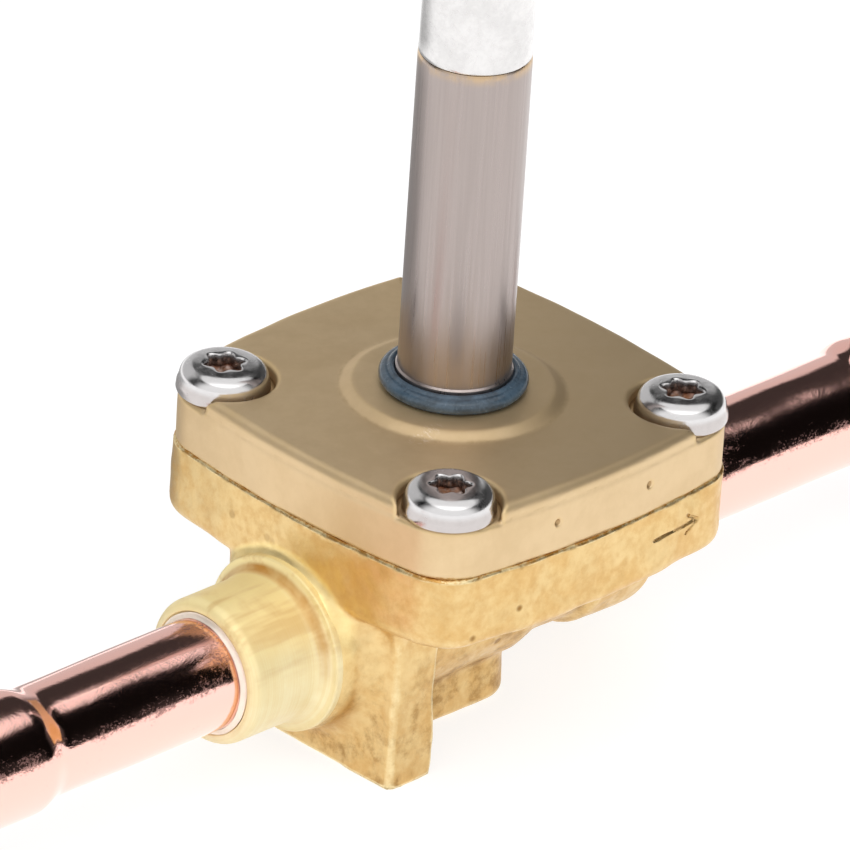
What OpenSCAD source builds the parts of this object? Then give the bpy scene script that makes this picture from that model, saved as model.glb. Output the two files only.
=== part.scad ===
// Refrigeration solenoid valve: a forged brass body with brazed copper stubs, a cover held by
// four screws, a servo diaphragm, and a steel armature tube that takes a clip-on coil.
// The pipe axis lies along X with the inlet at -X. Heights count from the foot's underside.

/* [Flange and cover outline] */
// Width of the cover across the middles of opposite sides
cover_w = 48.8; // [48:0.1:52]
// How far each side bows out at its middle
side_bow = 2; // [1:0.05:2.5]
// Radius of the four corners
corner_r = 6; // [5.5:0.1:8]
// How far the body's flange stands out past the cover
flange_lip = 0.15; // [0.1:0.05:0.6]
// Distance from the side's middle to the screw axes
screw_inset = 6.5; // [6.2:0.1:7]

/* [Body] */
// Height of the pipe axis above the foot
axis_h = 14.8; // [14:0.1:18]
// Height of the flange's underside above the pipe axis
flange_rise = 6.6; // [6.6:0.1:8]
// Thickness of the flange
flange_t = 9.1; // [8.5:0.1:12]
// Rounding of the flange's lower edge
flange_edge_r = 1.6; // [0.5:0.1:2.5]
// Radius of the barrel along the pipe axis
barrel_r = 10.5; // [10:0.1:12]
// Half length of the barrel
barrel_half = 24; // [23:0.1:26]
// Radius of the barrel's waist on the outlet side
waist_r = 9.6; // [9:0.1:10]
// Radius of the round belly that holds the diaphragm chamber
belly_r = 17.2; // [17:0.1:18.5]
// Depth of the belly below the flange
belly_drop = 3.9; // [3.9:0.1:5]

/* [Foot] */
// Distance from the valve's middle to the slab's outer face
slab_reach = 20; // [18.5:0.1:21]
// Thickness of the slab
slab_t = 6.5; // [6:0.1:8]
// Width of the slab
slab_w = 27.2; // [26:0.1:32]
// Rounding of the slab's front edges
slab_edge_r = 0.9; // [0.5:0.1:1.5]
// Width of the web that runs back from the slab
web_w = 11; // [9:0.1:13]
// Distance from the valve's middle to the web's round end
web_reach = 8.4; // [8:0.1:12]
// Rounding of the foot's lower edges
foot_edge_r = 0.6; // [0.5:0.1:1.5]
// Radius of the curve from the slab's face to the flange
brow_r = 3.4; // [2:0.1:3.6]
// Distance between the two tapped holes in the foot
foot_hole_pitch = 19; // [18:0.1:20]
// Core hole radius of the tapped holes, M4
foot_hole_r = 1.65; // [1.2:0.05:1.8]
// Depth of the tapped holes
foot_hole_depth = 9; // [6:0.1:11]

/* [Sleeves and copper stubs] */
// Outer radius of the turned sleeves
sleeve_r = 8.5; // [8.2:0.05:9]
// Distance from the valve's middle to the inlet sleeve's mouth
inlet_reach = 36.7; // [35:0.1:42]
// Distance from the valve's middle to the outlet sleeve's mouth
outlet_reach = 33.5; // [33:0.1:40]
// Depth of the socket that takes the copper stub
socket_depth = 8.5; // [7:0.1:9]
// Radius of the collar at the sleeve's root
collar_r = 10.2; // [9.8:0.05:10.4]
// Length of the collar from the barrel's end
collar_len = 1.8; // [1.5:0.1:3]
// Outer radius of the copper stub
stub_r = 6.45; // [6.2:0.05:6.6]
// Wall of the copper stub
stub_wall = 0.9; // [0.8:0.05:1.2]
// Distance from the valve's middle to the stub's end
stub_reach = 76; // [72:0.5:90]
// Inner radius of the solder socket that is swaged into the stub's end
swage_bore_r = 6.4; // [6.2:0.05:6.6]
// Depth of the solder socket
swage_depth = 10; // [8:0.1:14]
// Length of the cone between stub and solder socket
swage_cone = 3.5; // [2.5:0.1:5]
// Gap round the stub in its sleeve, filled by braze at the mouth
braze_gap = 0.06; // [0.03:0.01:0.1]
// Radius of the funnel at the sleeve's mouth
mouth_r = 7.15; // [7:0.05:7.6]
// Depth of the funnel at the sleeve's mouth
mouth_depth = 1.4; // [0.8:0.1:2]

/* [Chamber and seat] */
// Radius of the diaphragm chamber
chamber_r = 15; // [14.5:0.1:15.2]
// Height of the chamber's floor above the pipe axis
floor_rise = 6.5; // [6.4:0.1:7]
// Height of the seat above the pipe axis
seat_rise = 10.4; // [10:0.1:11]
// Radius of the seat bore
seat_bore_r = 5; // [4.8:0.05:5.2]
// Outer radius of the seat post
seat_post_r = 7; // [6.8:0.1:7.5]
// Radius of the inlet and outlet bores
port_r = 5.5; // [5:0.1:5.5]
// Radius of the hole that rises from the inlet bore to the chamber
riser_r = 3.6; // [3:0.1:3.8]

/* [Cover] */
// Thickness of the cover
cover_t = 7.7; // [7.4:0.1:9]
// Rounding of the cover's upper edge
shoulder_r = 2; // [1:0.1:2.5]
// Thickness of the cover under the screw heads
screw_seat_t = 5.95; // [5.5:0.05:6.5]
// Radius of the seat cut round each screw head
screw_seat_r = 5.85; // [5.6:0.05:6.2]
// Radius of the raised middle of the cover
boss_r = 12.4; // [12:0.1:14]
// Height of the raised middle
boss_h = 0.8; // [0.4:0.1:1.5]
// Radius of the hollow under the cover
hollow_r = 13; // [12.5:0.1:13.5]
// Depth of the hollow under the cover
hollow_depth = 3.9; // [3.6:0.1:4.2]
// Metal left above the gasket of the armature tube
tube_lip_t = 1.3; // [1:0.1:1.6]

/* [Screws] */
// Radius of the screw head
head_r = 5.3; // [5:0.05:5.4]
// Height of the screw head
head_h = 3.45; // [3:0.05:4]
// Height of the straight side of the head
head_side = 1.7; // [1:0.05:2]
// Radius of the screw's shank, M5
shank_r = 2.5; // [2.2:0.05:2.6]
// Gap round the shank in the tapped hole
thread_gap = 0.04; // [0.02:0.01:0.1]
// Gap round the shank in the cover
screw_gap = 0.3; // [0.2:0.05:0.5]
// Radius across the points of the six-lobe recess
lobe_r = 2.45; // [2.2:0.05:2.6]
// Depth of the six-lobe recess
lobe_depth = 2.2; // [1.5:0.1:2.4]

/* [Diaphragm stack] */
// Thickness of the gasket between body and cover
gasket_t = 0.5; // [0.3:0.05:0.6]
// Outer radius of the gasket and the diaphragm's rim
rim_r = 19.5; // [19:0.1:20]
// Thickness of the diaphragm
membrane_t = 0.5; // [0.3:0.05:0.6]
// Radius of the clamped middle of the diaphragm
plate_r = 7.8; // [7.5:0.1:8.2]
// Thickness of the support plate and of the hub's flange
plate_t = 1; // [0.8:0.1:1.1]
// Radius of the hub's stem
stem_r = 3.2; // [3:0.05:3.4]
// Thickness of the main seal
seal_t = 1.5; // [1.2:0.1:1.6]
// Radius of the main seal
seal_r = 7.4; // [7:0.1:7.6]
// Height of the hub nut
hub_nut_h = 1.6; // [1.2:0.1:1.8]
// Width across the flats of the hub nut
hub_nut_af = 8.2; // [8:0.1:8.6]
// Radius of the pilot passage
pilot_r = 0.9; // [0.6:0.05:1.1]
// Gap between a seal and its seat in the drawing
seat_gap = 0.05; // [0.02:0.01:0.1]

/* [Armature and tube] */
// Outer radius of the armature tube
tube_r = 6.35; // [6:0.05:6.5]
// Wall of the armature tube
tube_wall = 0.45; // [0.35:0.05:0.6]
// How far the tube's foot stands out past the tube
tube_foot_step = 0.2; // [0.16:0.01:0.4]
// Height of the weld above the pipe axis
weld_rise = 65.5; // [60:0.5:75]
// Length of the solid core above the weld
core_cap_len = 10.5; // [8:0.5:14]
// Length of the core inside the tube
core_stub_len = 7; // [6:0.1:9]
// Travel of the armature
armature_travel = 3; // [2.5:0.1:3]
// Running gap between armature and tube
running_gap = 0.05; // [0.03:0.01:0.1]
// Outer radius of the tube's flange
tube_flange_r = 8.6; // [8.4:0.1:8.8]
// Thickness of the tube's flange
tube_flange_t = 1; // [0.8:0.1:1.2]
// Thickness of the gasket above the tube's flange
tube_gasket_t = 0.5; // [0.3:0.05:0.6]
// Outer radius of the ring that holds the tube's flange
retainer_r = 9.3; // [9.2:0.1:9.8]
// Height of the ring that holds the tube's flange
retainer_h = 2.6; // [2.2:0.1:2.8]
// Wire diameter of the armature spring
wire_d = 0.7; // [0.5:0.05:0.8]
// Outer radius of the armature spring
spring_r = 2.8; // [2.4:0.05:3]
// Turns of the armature spring
spring_turns = 9; // [7:1:10]
// Depth of the armature's spring bore
spring_bore_depth = 13; // [12:0.1:16]
// Section diameter of the rubber ring at the tube's foot
ring_d = 1.78; // [1.5:0.01:2]

/* [Hidden] */

$fn = 72;
// Overrun of a cut past the face it opens
cut = 1;
// Small gap between pieces of one body that are pushed together
push_gap = 0.02;
// Steps of a rounded edge
edge_steps = 4;

// Heights
flange_z = axis_h + flange_rise;
part_z = flange_z + flange_t;
cover_z = part_z + cover_t;
boss_z = cover_z + boss_h;
screw_seat_z = part_z + screw_seat_t;
floor_z = axis_h + floor_rise;
seat_z = axis_h + seat_rise;
weld_z = axis_h + weld_rise;
core_face_z = weld_z - core_stub_len;

// Diaphragm stack, from the seat upwards
seal_z = seat_z + seat_gap;
hub_z = seal_z + seal_t;
membrane_z = hub_z + plate_t;
plate_z = membrane_z + membrane_t;
nut_z = plate_z + plate_t;
stem_proud = 0.35;
stem_top_z = nut_z + hub_nut_h + stem_proud;
nozzle_proud = 0.5;
nozzle_z = stem_top_z + nozzle_proud;
nozzle_r = 1.7;
nozzle_foot_z = stem_top_z - 3;
low_stem_r = stem_r - 0.2;
gasket_z = part_z - membrane_t - gasket_t;

// Tube seat, from the top of the raised middle downwards
tube_gasket_z = boss_z - tube_lip_t - tube_gasket_t;
tube_flange_z = tube_gasket_z - tube_flange_t;
retainer_z = tube_flange_z - retainer_h;
tube_foot_r = tube_r + tube_foot_step;

// Rubber ring, with its lip's section as a share of the ring's
ring_mid_z = boss_z + ring_d / 2;
ring_lip_r = 0.24 * ring_d;
ring_lip_z = ring_mid_z + 0.4 * ring_d;
tube_foot_z = ring_lip_z + ring_lip_r + 0.2;

// Armature
tube_bore_r = tube_r - tube_wall;
pilot_seal_r = 2.6;
pilot_seal_t = 2;
armature_r = tube_bore_r - running_gap;
armature_z = nozzle_z + seat_gap;
armature_top_z = core_face_z - armature_travel;
spring_bore_r = spring_r + 0.3;
spring_z = armature_top_z - spring_bore_depth;

// Shading ring, sunk a little into the core's face
shade_outer_r = tube_bore_r - 0.7;
shade_inner_r = spring_bore_r + 0.9;
shade_h = 1.5;
shade_sink = 0.1;

// Screws and outline
screw_xy = cover_w / 2 - screw_inset;
screw_hole_z = flange_z + 1.5;
body_w = cover_w + 2 * flange_lip;
rim_inner_r = chamber_r + 1;

// Stubs
socket_r = stub_r + braze_gap;
swage_r = swage_bore_r + stub_wall;
cone_start = stub_reach - swage_depth - swage_cone;

// Corners of the square that the screws stand on
CORNERS = [for (sx = [-1, 1], sy = [-1, 1]) [sx, sy]];

// Outline of a square with bowed sides and round corners, moved inwards by inset.
// Each side is an arc about a far centre and each corner an arc tangent to two sides.
function bowed_square(w, inset) =
    let (c = w / 2 - side_bow,
         big_r = (c * c + side_bow * side_bow) / (2 * side_bow),
         m = w / 2 - big_r,
         k = (m + sqrt(2 * pow(big_r - corner_r, 2) - m * m)) / 2,
         a = atan2(k, k - m),
         side_n = 6,
         corner_n = 8)
    [for (q = [0:3])
        each concat(
            [for (i = [0:side_n - 1])
                let (t = -a + 2 * a * i / side_n)
                turned([m + (big_r - inset) * cos(t), (big_r - inset) * sin(t)], 90 * q)],
            [for (i = [0:corner_n - 1])
                let (t = a + (90 - 2 * a) * i / corner_n)
                turned([k + (corner_r - inset) * cos(t), k + (corner_r - inset) * sin(t)], 90 * q)])];

function turned(p, t) = [p.x * cos(t) - p.y * sin(t), p.x * sin(t) + p.y * cos(t)];

// Outline of a rectangle from (x0, y0) to (x1, y1) with round corners, moved inwards by inset
function round_rect(x0, y0, x1, y1, r, inset) =
    let (n = 4,
         rr = max(r - inset, 0.1),
         cx = [x1 - inset - rr, x0 + inset + rr, x0 + inset + rr, x1 - inset - rr],
         cy = [y1 - inset - rr, y1 - inset - rr, y0 + inset + rr, y0 + inset + rr])
    [for (q = [0:3], i = [0:n])
        let (t = 90 * q + 90 * i / n)
        [cx[q] + rr * cos(t), cy[q] + rr * sin(t)]];

// Rounded edge as [inset, height] pairs, from the flat face towards the side
function edge_down(r, z) = [for (i = [0:edge_steps])
    let (t = 90 * i / edge_steps) [r - r * sin(t), z + r - r * cos(t)]];

// The same edge at the top, from the side towards the flat face
function edge_up(r, z) = [for (i = [0:edge_steps])
    let (t = 90 * i / edge_steps) [r - r * cos(t), z - r + r * sin(t)]];

// Solid skin through rings of points that all have the same count, closed by flat ends
module skin(rings) {
    n = len(rings[0]);
    last = len(rings) - 1;
    points = [for (ring = rings) each ring];
    sides = [for (j = [0:last - 1], i = [0:n - 1])
        [j * n + i, (j + 1) * n + i, (j + 1) * n + (i + 1) % n, j * n + (i + 1) % n]];
    start = [for (i = [0:n - 1]) i];
    end = [for (i = [n - 1:-1:0]) last * n + i];
    polyhedron(points, concat(sides, [start, end]), convexity = 4);
}

// Bowed square block whose inset changes with height as the profile says
module bowed_block(w, profile) {
    skin([for (s = profile) [for (p = bowed_square(w, s[0])) [p.x, p.y, s[1]]]]);
}

// Ring of square section, standing on z
module ring(outer, inner, z, h) {
    translate([0, 0, z])
        difference() {
            cylinder(r = outer, h = h);
            translate([0, 0, -cut]) cylinder(r = inner, h = h + 2 * cut);
        }
}

// Cylinder along X from x0 to x1 on the pipe axis
module along_x(r, x0, x1) {
    translate([x0, 0, axis_h]) rotate([0, 90, 0]) cylinder(r = r, h = x1 - x0);
}

// Outer skin of one turned sleeve: radius against distance from the valve's middle.
// The collar runs into the sleeve on a hollow curve and the mouth's rim is rounded.
module sleeve(reach) {
    flare_len = 2.2;
    rim = 1.3;
    edge = 0.4;
    bury = 1.5;
    root = barrel_half + collar_len;
    translate([0, 0, axis_h]) rotate([0, 90, 0])
        rotate_extrude()
            polygon(concat(
                [[0, barrel_half - bury], [collar_r, barrel_half - bury],
                 [collar_r, root - edge], [collar_r - edge, root]],
                [for (i = [1:4]) let (t = 90 * i / 4)
                    [sleeve_r + (collar_r - edge - sleeve_r) * (1 - sin(t)),
                     root + flare_len * (1 - cos(t))]],
                [[sleeve_r, reach - rim]],
                [for (i = [1:4]) let (t = 90 * i / 4)
                    [sleeve_r - rim * (1 - cos(t)), reach - rim + rim * sin(t)]],
                [[0, reach]]));
}

// Barrel along the pipe axis, with its waist and its rounded ends
module barrel() {
    end_r = 1.2;
    waist_start = 4;
    waist_slope = 5;
    head_len = 9.7;
    head_slope = 1.7;
    translate([0, 0, axis_h]) rotate([0, 90, 0])
        rotate_extrude()
            polygon(concat(
                [[0, -barrel_half], [barrel_r - end_r, -barrel_half]],
                [for (i = [1:3]) let (t = 90 * i / 3)
                    [barrel_r - end_r + end_r * sin(t), -barrel_half + end_r * (1 - cos(t))]],
                [[barrel_r, waist_start]],
                [for (i = [1:4]) let (t = 180 * i / 4)
                    [barrel_r - (barrel_r - waist_r) * (1 - cos(t)) / 2,
                     waist_start + waist_slope * i / 4]],
                [[waist_r, barrel_half - head_len - head_slope], [barrel_r, barrel_half - head_len]],
                [for (i = [1:3]) let (t = 90 * i / 3)
                    [barrel_r - end_r * (1 - cos(t)), barrel_half - end_r * (1 - sin(t))]],
                [[0, barrel_half]]));
}

// Slab under the inlet side, rounded at its front and its lower edges
module slab() {
    top = flange_z + flange_edge_r;
    plan_r = 1.5 * foot_edge_r;
    skin([for (s = concat(edge_down(slab_edge_r, -slab_reach), [[0, -slab_reach + slab_t]]))
        [for (p = round_rect(-slab_w / 2, 0, slab_w / 2, top, plan_r, s[0]))
            [s[1], p.x, p.y]]]);
}

// Web with a round end that runs back from the slab under the barrel
module web() {
    x0 = -slab_reach + slab_t / 2;
    profile = concat(edge_down(foot_edge_r, 0), [[0, axis_h - 2]]);
    skin([for (s = profile)
        [for (p = web_outline(x0, s[0])) [p.x, p.y, s[1]]]]);
}

// Outline of the web: straight sides, a half circle at the end, moved inwards by inset
function web_outline(x0, inset) =
    let (r = web_w / 2 - inset, n = 12, xc = web_reach - web_w / 2)
    concat([for (i = [0:n]) let (t = -90 + 180 * i / n) [xc + r * cos(t), r * sin(t)]],
           [[x0, r], [x0, -r]]);

// Hollow curve that leads from the slab's face out to the flange's wall
module brow() {
    x = -slab_reach;
    z = flange_z + flange_edge_r;
    h = brow_r + flange_edge_r;
    translate([0, slab_w / 2, 0]) rotate([90, 0, 0])
        linear_extrude(slab_w)
            difference() {
                translate([x - brow_r, z - h]) square([brow_r + 1, h]);
                translate([x - brow_r, z - h]) circle(r = brow_r);
            }
}

// Round belly under the flange that closes the diaphragm chamber
module belly() {
    z = flange_z - belly_drop;
    edge = 2.2;
    top = flange_z + flange_edge_r / 2;
    rotate_extrude()
        polygon(concat([[0, z]],
                       [for (i = [0:3]) let (t = 90 * i / 3)
                           [belly_r - edge + edge * sin(t), z + edge * (1 - cos(t))]],
                       [[belly_r, top], [0, top]]));
}

// Annular chamber round the seat post, with a narrow raised lip on the seat
module chamber_cut() {
    lip_w = 0.9;
    lip_h = 0.8;
    rotate_extrude()
        polygon([[seat_post_r, floor_z], [chamber_r, floor_z], [chamber_r, part_z + cut],
                 [0, part_z + cut], [0, seat_z], [seat_bore_r + lip_w, seat_z],
                 [seat_post_r, seat_z - lip_h]]);
}

// Bores for one stub: the socket in the sleeve, its funnel mouth and the port behind it
module sleeve_cut(reach, port_end) {
    stop = reach - socket_depth;
    along_x(socket_r, stop, reach + cut);
    along_x(port_r, port_end, stop + cut);
    translate([reach - mouth_depth, 0, axis_h]) rotate([0, 90, 0])
        cylinder(r1 = socket_r, r2 = mouth_r + (mouth_r - socket_r) * cut / mouth_depth,
                 h = mouth_depth + cut);
}

// Flow arrow cut into the flange's side, pointing to the outlet
module arrow_cut() {
    depth = 0.3;
    side_fall = 0.75;
    line = 0.5;
    tail = 8;
    tip = 15.8;
    head = 2.3;
    translate([0, -body_w / 2 + side_fall + depth, flange_z + 0.57 * flange_t]) rotate([90, 0, 0])
        linear_extrude(side_fall + depth + cut) {
            translate([tail, -line / 2]) square([tip - tail - line, line]);
            for (s = [-1, 1])
                polygon([[tip, 0], [tip - head, s * head * 0.58],
                         [tip - head - line, s * head * 0.58], [tip - 1.5 * line, 0]]);
        }
}

// Tapped holes for the cover screws, blind in the flange
module screw_hole_cut() {
    for (c = CORNERS)
        translate([c.x * screw_xy, c.y * screw_xy, screw_hole_z])
            cylinder(r = shank_r + thread_gap, h = part_z - screw_hole_z + cut);
}

// Tapped holes in the foot's underside, for a bracket
module foot_hole_cut() {
    for (s = [-1, 1])
        translate([-slab_reach + slab_t / 2, s * foot_hole_pitch / 2, -cut])
            cylinder(r = foot_hole_r, h = foot_hole_depth + cut);
}

module valve_body() {
    color("#d9a441")
    difference() {
        union() {
            bowed_block(body_w, concat(edge_down(flange_edge_r, flange_z),
                                       [[0, part_z - 0.3], [0.2, part_z]]));
            barrel();
            sleeve(outlet_reach);
            mirror([1, 0, 0]) sleeve(inlet_reach);
            slab();
            web();
            brow();
            belly();
        }
        chamber_cut();
        translate([0, 0, axis_h]) cylinder(r = seat_bore_r, h = seat_rise + cut);
        translate([0, 0, gasket_z]) cylinder(r = rim_r + push_gap, h = part_z - gasket_z + cut);
        sleeve_cut(outlet_reach, -seat_bore_r + 1.5);
        mirror([1, 0, 0]) sleeve_cut(inlet_reach, seat_bore_r + 4.5);
        translate([-(seat_post_r + riser_r + 0.6), 0, axis_h])
            cylinder(r = riser_r, h = floor_rise + cut);
        screw_hole_cut();
        foot_hole_cut();
        arrow_cut();
    }
}

module cover() {
    color("#a08a68")
    difference() {
        union() {
            bowed_block(cover_w, concat([[0.15, part_z], [0, part_z + 0.3]],
                                        edge_up(shoulder_r, cover_z)));
            raised_middle();
        }
        for (c = CORNERS) translate([c.x * screw_xy, c.y * screw_xy, 0]) {
            translate([0, 0, screw_seat_z]) cylinder(r = screw_seat_r, h = cover_t);
            translate([0, 0, part_z - cut]) cylinder(r = shank_r + screw_gap, h = cover_t);
        }
        translate([0, 0, part_z - cut]) cylinder(r = hollow_r, h = hollow_depth + cut);
        translate([0, 0, retainer_z - cut])
            cylinder(r = retainer_r + push_gap, h = tube_gasket_z + tube_gasket_t - retainer_z + cut);
        cylinder(r = tube_foot_r + push_gap, h = boss_z + cut);
        dimples_cut();
    }
}

// Low round boss on the cover with a soft shoulder
module raised_middle() {
    soft = 1.6;
    rotate_extrude()
        polygon(concat(
            [[0, cover_z - 1], [boss_r + 0.4, cover_z - 1], [boss_r + 0.4, cover_z]],
            [for (i = [1:5]) let (t = 180 * i / 5)
                [boss_r + 0.4 - soft * i / 5, cover_z + boss_h * (1 - cos(t)) / 2]],
            [[0, boss_z]]));
}

// Two small round dimples in the cover's near side
module dimples_cut() {
    spread = 7.1;
    rise = 3.6;
    depth = 0.45;
    dimple_r = 0.5;
    for (s = [-1, 1])
        translate([s * spread, -cover_w / 2 + depth, part_z + rise])
            rotate([90, 0, 0]) cylinder(r = dimple_r, h = depth + cut);
}

// One pan head screw standing on the cover's screw seat, with its shank in the body
module cover_screw() {
    dome_flat = 2.9;
    side_in = 0.35;
    top = screw_seat_z + head_h;
    shank_z = screw_hole_z + 0.6;
    difference() {
        rotate_extrude()
            polygon(concat(
                [[0, shank_z], [shank_r - 0.5, shank_z], [shank_r, shank_z + 0.5],
                 [shank_r, screw_seat_z], [head_r - 0.3, screw_seat_z],
                 [head_r, screw_seat_z + 0.3], [head_r - side_in / 2, screw_seat_z + head_side]],
                [for (i = [1:6]) let (t = 90 * i / 6)
                    [dome_flat + (head_r - side_in - dome_flat) * cos(t),
                     screw_seat_z + head_side + (head_h - head_side) * sin(t)]],
                [[0, top]]));
        translate([0, 0, top - lobe_depth]) linear_extrude(lobe_depth + cut) six_lobe();
        translate([0, 0, top - lobe_depth - 0.6]) cylinder(r1 = 0.2, r2 = lobe_r * 0.7, h = 0.65);
    }
}

// Outline of the six-lobe recess: a circle with six round bites between its points
module six_lobe() {
    bite_r = 0.31 * lobe_r;
    difference() {
        circle(r = lobe_r);
        for (i = [0:5]) rotate(60 * i + 30) translate([1.02 * lobe_r, 0]) circle(r = bite_r, $fn = 24);
    }
}

module cover_screws() {
    color("#c9cacd")
    for (c = CORNERS) translate([c.x * screw_xy, c.y * screw_xy, 0])
        rotate(15 * (c.x + 2 * c.y)) cover_screw();
}

module cover_gasket() {
    color("#4a4d50") ring(rim_r, rim_inner_r, gasket_z, gasket_t);
}

// Copper stub along X: plain tube, cone, then the solder socket at its end
module stub(reach) {
    inner = stub_r - stub_wall;
    start = reach - socket_depth + push_gap;
    neck = stub_reach - swage_depth;
    end_r = 0.3;
    translate([0, 0, axis_h]) rotate([0, 90, 0])
        rotate_extrude()
            polygon([[inner, start], [stub_r, start], [stub_r, cone_start], [swage_r, neck],
                     [swage_r, stub_reach - end_r], [swage_r - end_r, stub_reach],
                     [swage_bore_r, stub_reach], [swage_bore_r, neck + 0.6], [inner, cone_start]]);
}

module inlet_tube() {
    color("#d99a80") mirror([1, 0, 0]) stub(inlet_reach);
}

module outlet_tube() {
    color("#d99a80") stub(outlet_reach);
}

// Braze in the funnel of a sleeve's mouth, with a hollow face
module braze(reach) {
    back = reach - mouth_depth + 0.05;
    fill = 0.75;
    wide = socket_r + (mouth_r - socket_r) * fill;
    translate([0, 0, axis_h]) rotate([0, 90, 0])
        rotate_extrude()
            polygon([[stub_r + 0.01, back], [socket_r, back],
                     [wide - 0.02, reach - mouth_depth * (1 - fill)],
                     [stub_r + 0.2, back + mouth_depth * 0.6], [stub_r + 0.01, reach - 0.3]]);
}

module inlet_braze() {
    color("#e6d3a0") mirror([1, 0, 0]) braze(inlet_reach);
}

module outlet_braze() {
    color("#e6d3a0") braze(outlet_reach);
}

// Flexible diaphragm: flat clamped rim, one rolled convolution, flat clamped middle
module diaphragm() {
    rim_z = part_z - membrane_t;
    roll_w = chamber_r - plate_r;
    steps = 14;
    dip = 1.5;
    bleed_r = 0.4;
    path = [for (i = [0:steps]) let (t = i / steps)
        [plate_r + 0.3 + (roll_w - 0.3) * t,
         membrane_z + (rim_z - membrane_z) * (1 - cos(180 * t)) / 2 - dip * pow(sin(180 * t), 2)]];
    color("#ece8dc")
    difference() {
        rotate_extrude()
            polygon(concat(
                [[stem_r + push_gap, membrane_z]], path, [[rim_r, rim_z], [rim_r, part_z]],
                [for (i = [steps:-1:0]) path[i] + [0, membrane_t]],
                [[stem_r + push_gap, plate_z]]));
        translate([0, (plate_r + chamber_r) / 2, membrane_z - 2 * dip])
            cylinder(r = bleed_r, h = rim_z - membrane_z + 4 * dip);
    }
}

module support_plate() {
    color("#b9bcc0") ring(plate_r, stem_r + push_gap, plate_z, plate_t);
}

// Hub: flange between seal and diaphragm, threaded stems up and down, pilot passage through
module diaphragm_hub() {
    low_z = seal_z - 2;
    color("#c79a3f")
    difference() {
        rotate_extrude()
            polygon([[0, low_z], [low_stem_r - 0.3, low_z], [low_stem_r, low_z + 0.3],
                     [low_stem_r, hub_z], [plate_r - 0.3, hub_z], [plate_r, hub_z + 0.3],
                     [plate_r, membrane_z], [stem_r, membrane_z], [stem_r, stem_top_z - 0.3],
                     [stem_r - 0.3, stem_top_z], [0, stem_top_z]]);
        translate([0, 0, low_z - cut]) cylinder(r = pilot_r, h = nozzle_z - low_z);
        translate([0, 0, nozzle_foot_z])
            cylinder(r = nozzle_r + push_gap, h = stem_top_z - nozzle_foot_z + cut);
    }
}

// Hexagon nut with a chamfered upper edge
module hub_nut() {
    across = hub_nut_af / sqrt(3);
    color("#b9bcc0")
    difference() {
        intersection() {
            translate([0, 0, nut_z]) cylinder(r = across, h = hub_nut_h, $fn = 6);
            translate([0, 0, nut_z - cut])
                cylinder(r1 = across + cut + hub_nut_h, r2 = across - 0.35, h = hub_nut_h + cut);
        }
        translate([0, 0, nut_z - cut]) cylinder(r = stem_r + push_gap, h = hub_nut_h + 2 * cut);
    }
}

// Hard seat insert that the armature's seal closes
module pilot_nozzle() {
    color("#d7d9dc")
    difference() {
        rotate_extrude()
            polygon([[0, nozzle_foot_z], [nozzle_r, nozzle_foot_z], [nozzle_r, stem_top_z - 0.1],
                     [pilot_r + 0.45, nozzle_z], [0, nozzle_z]]);
        translate([0, 0, nozzle_foot_z - cut])
            cylinder(r = pilot_r, h = nozzle_z - nozzle_foot_z + 2 * cut);
    }
}

module main_seal() {
    color("#f2f0ea") ring(seal_r, low_stem_r + push_gap, seal_z, seal_t);
}

// Thin hexagon nut under the main seal, inside the seat bore
module seal_retainer() {
    h = 1.2;
    corner_gap = 0.6;
    color("#b9bcc0")
    difference() {
        translate([0, 0, seal_z - h]) cylinder(r = seat_bore_r - corner_gap, h = h, $fn = 6);
        translate([0, 0, seal_z - h - cut]) cylinder(r = low_stem_r + push_gap, h = h + 2 * cut);
    }
}

// Thin drawn tube with a flange at its end and a slightly wider foot in the cover
module armature_tube() {
    color("#9b9490")
    rotate_extrude()
        polygon([[tube_bore_r, tube_flange_z], [tube_flange_r, tube_flange_z],
                 [tube_flange_r, tube_gasket_z - 0.1], [tube_flange_r - 0.1, tube_gasket_z],
                 [tube_foot_r, tube_gasket_z], [tube_foot_r, tube_foot_z],
                 [tube_r, tube_foot_z + tube_foot_step], [tube_r, weld_z], [tube_bore_r, weld_z]]);
}

// Core closing the tube: cap above the weld, stub inside, groove for the shading ring
module fixed_core() {
    edge = 1.2;
    color("#c4c0bc")
    difference() {
        rotate_extrude()
            polygon(concat(
                [[0, core_face_z], [tube_bore_r - push_gap - 0.2, core_face_z],
                 [tube_bore_r - push_gap, core_face_z + 0.2], [tube_bore_r - push_gap, weld_z],
                 [tube_r, weld_z]],
                [for (i = [0:3]) let (t = 90 * i / 3)
                    [tube_r - edge + edge * cos(t), weld_z + core_cap_len - edge + edge * sin(t)]],
                [[0, weld_z + core_cap_len]]));
        ring(shade_outer_r + push_gap, shade_inner_r - push_gap, core_face_z - cut,
             shade_sink + shade_h + cut);
    }
}

module shading_ring() {
    color("#c8744f") ring(shade_outer_r, shade_inner_r, core_face_z + shade_sink, shade_h);
}

// Plunger: spring bore above, seal pocket below, two flow grooves down its sides
module armature() {
    groove_w = 1.6;
    groove_d = 0.9;
    edge = 0.4;
    color("#b4b2b0")
    difference() {
        rotate_extrude()
            polygon([[0, armature_z + 0.1], [armature_r - edge, armature_z + 0.1],
                     [armature_r, armature_z + 0.1 + edge], [armature_r, armature_top_z - edge],
                     [armature_r - edge, armature_top_z], [0, armature_top_z]]);
        translate([0, 0, spring_z]) cylinder(r = spring_bore_r, h = spring_bore_depth + cut);
        translate([0, 0, armature_z - cut])
            cylinder(r = pilot_seal_r + push_gap, h = pilot_seal_t + cut);
        for (s = [-1, 1])
            translate([s * armature_r, 0, (armature_z + armature_top_z) / 2])
                cube([2 * groove_d, groove_w, armature_top_z - armature_z + 2 * cut], center = true);
    }
}

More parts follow.
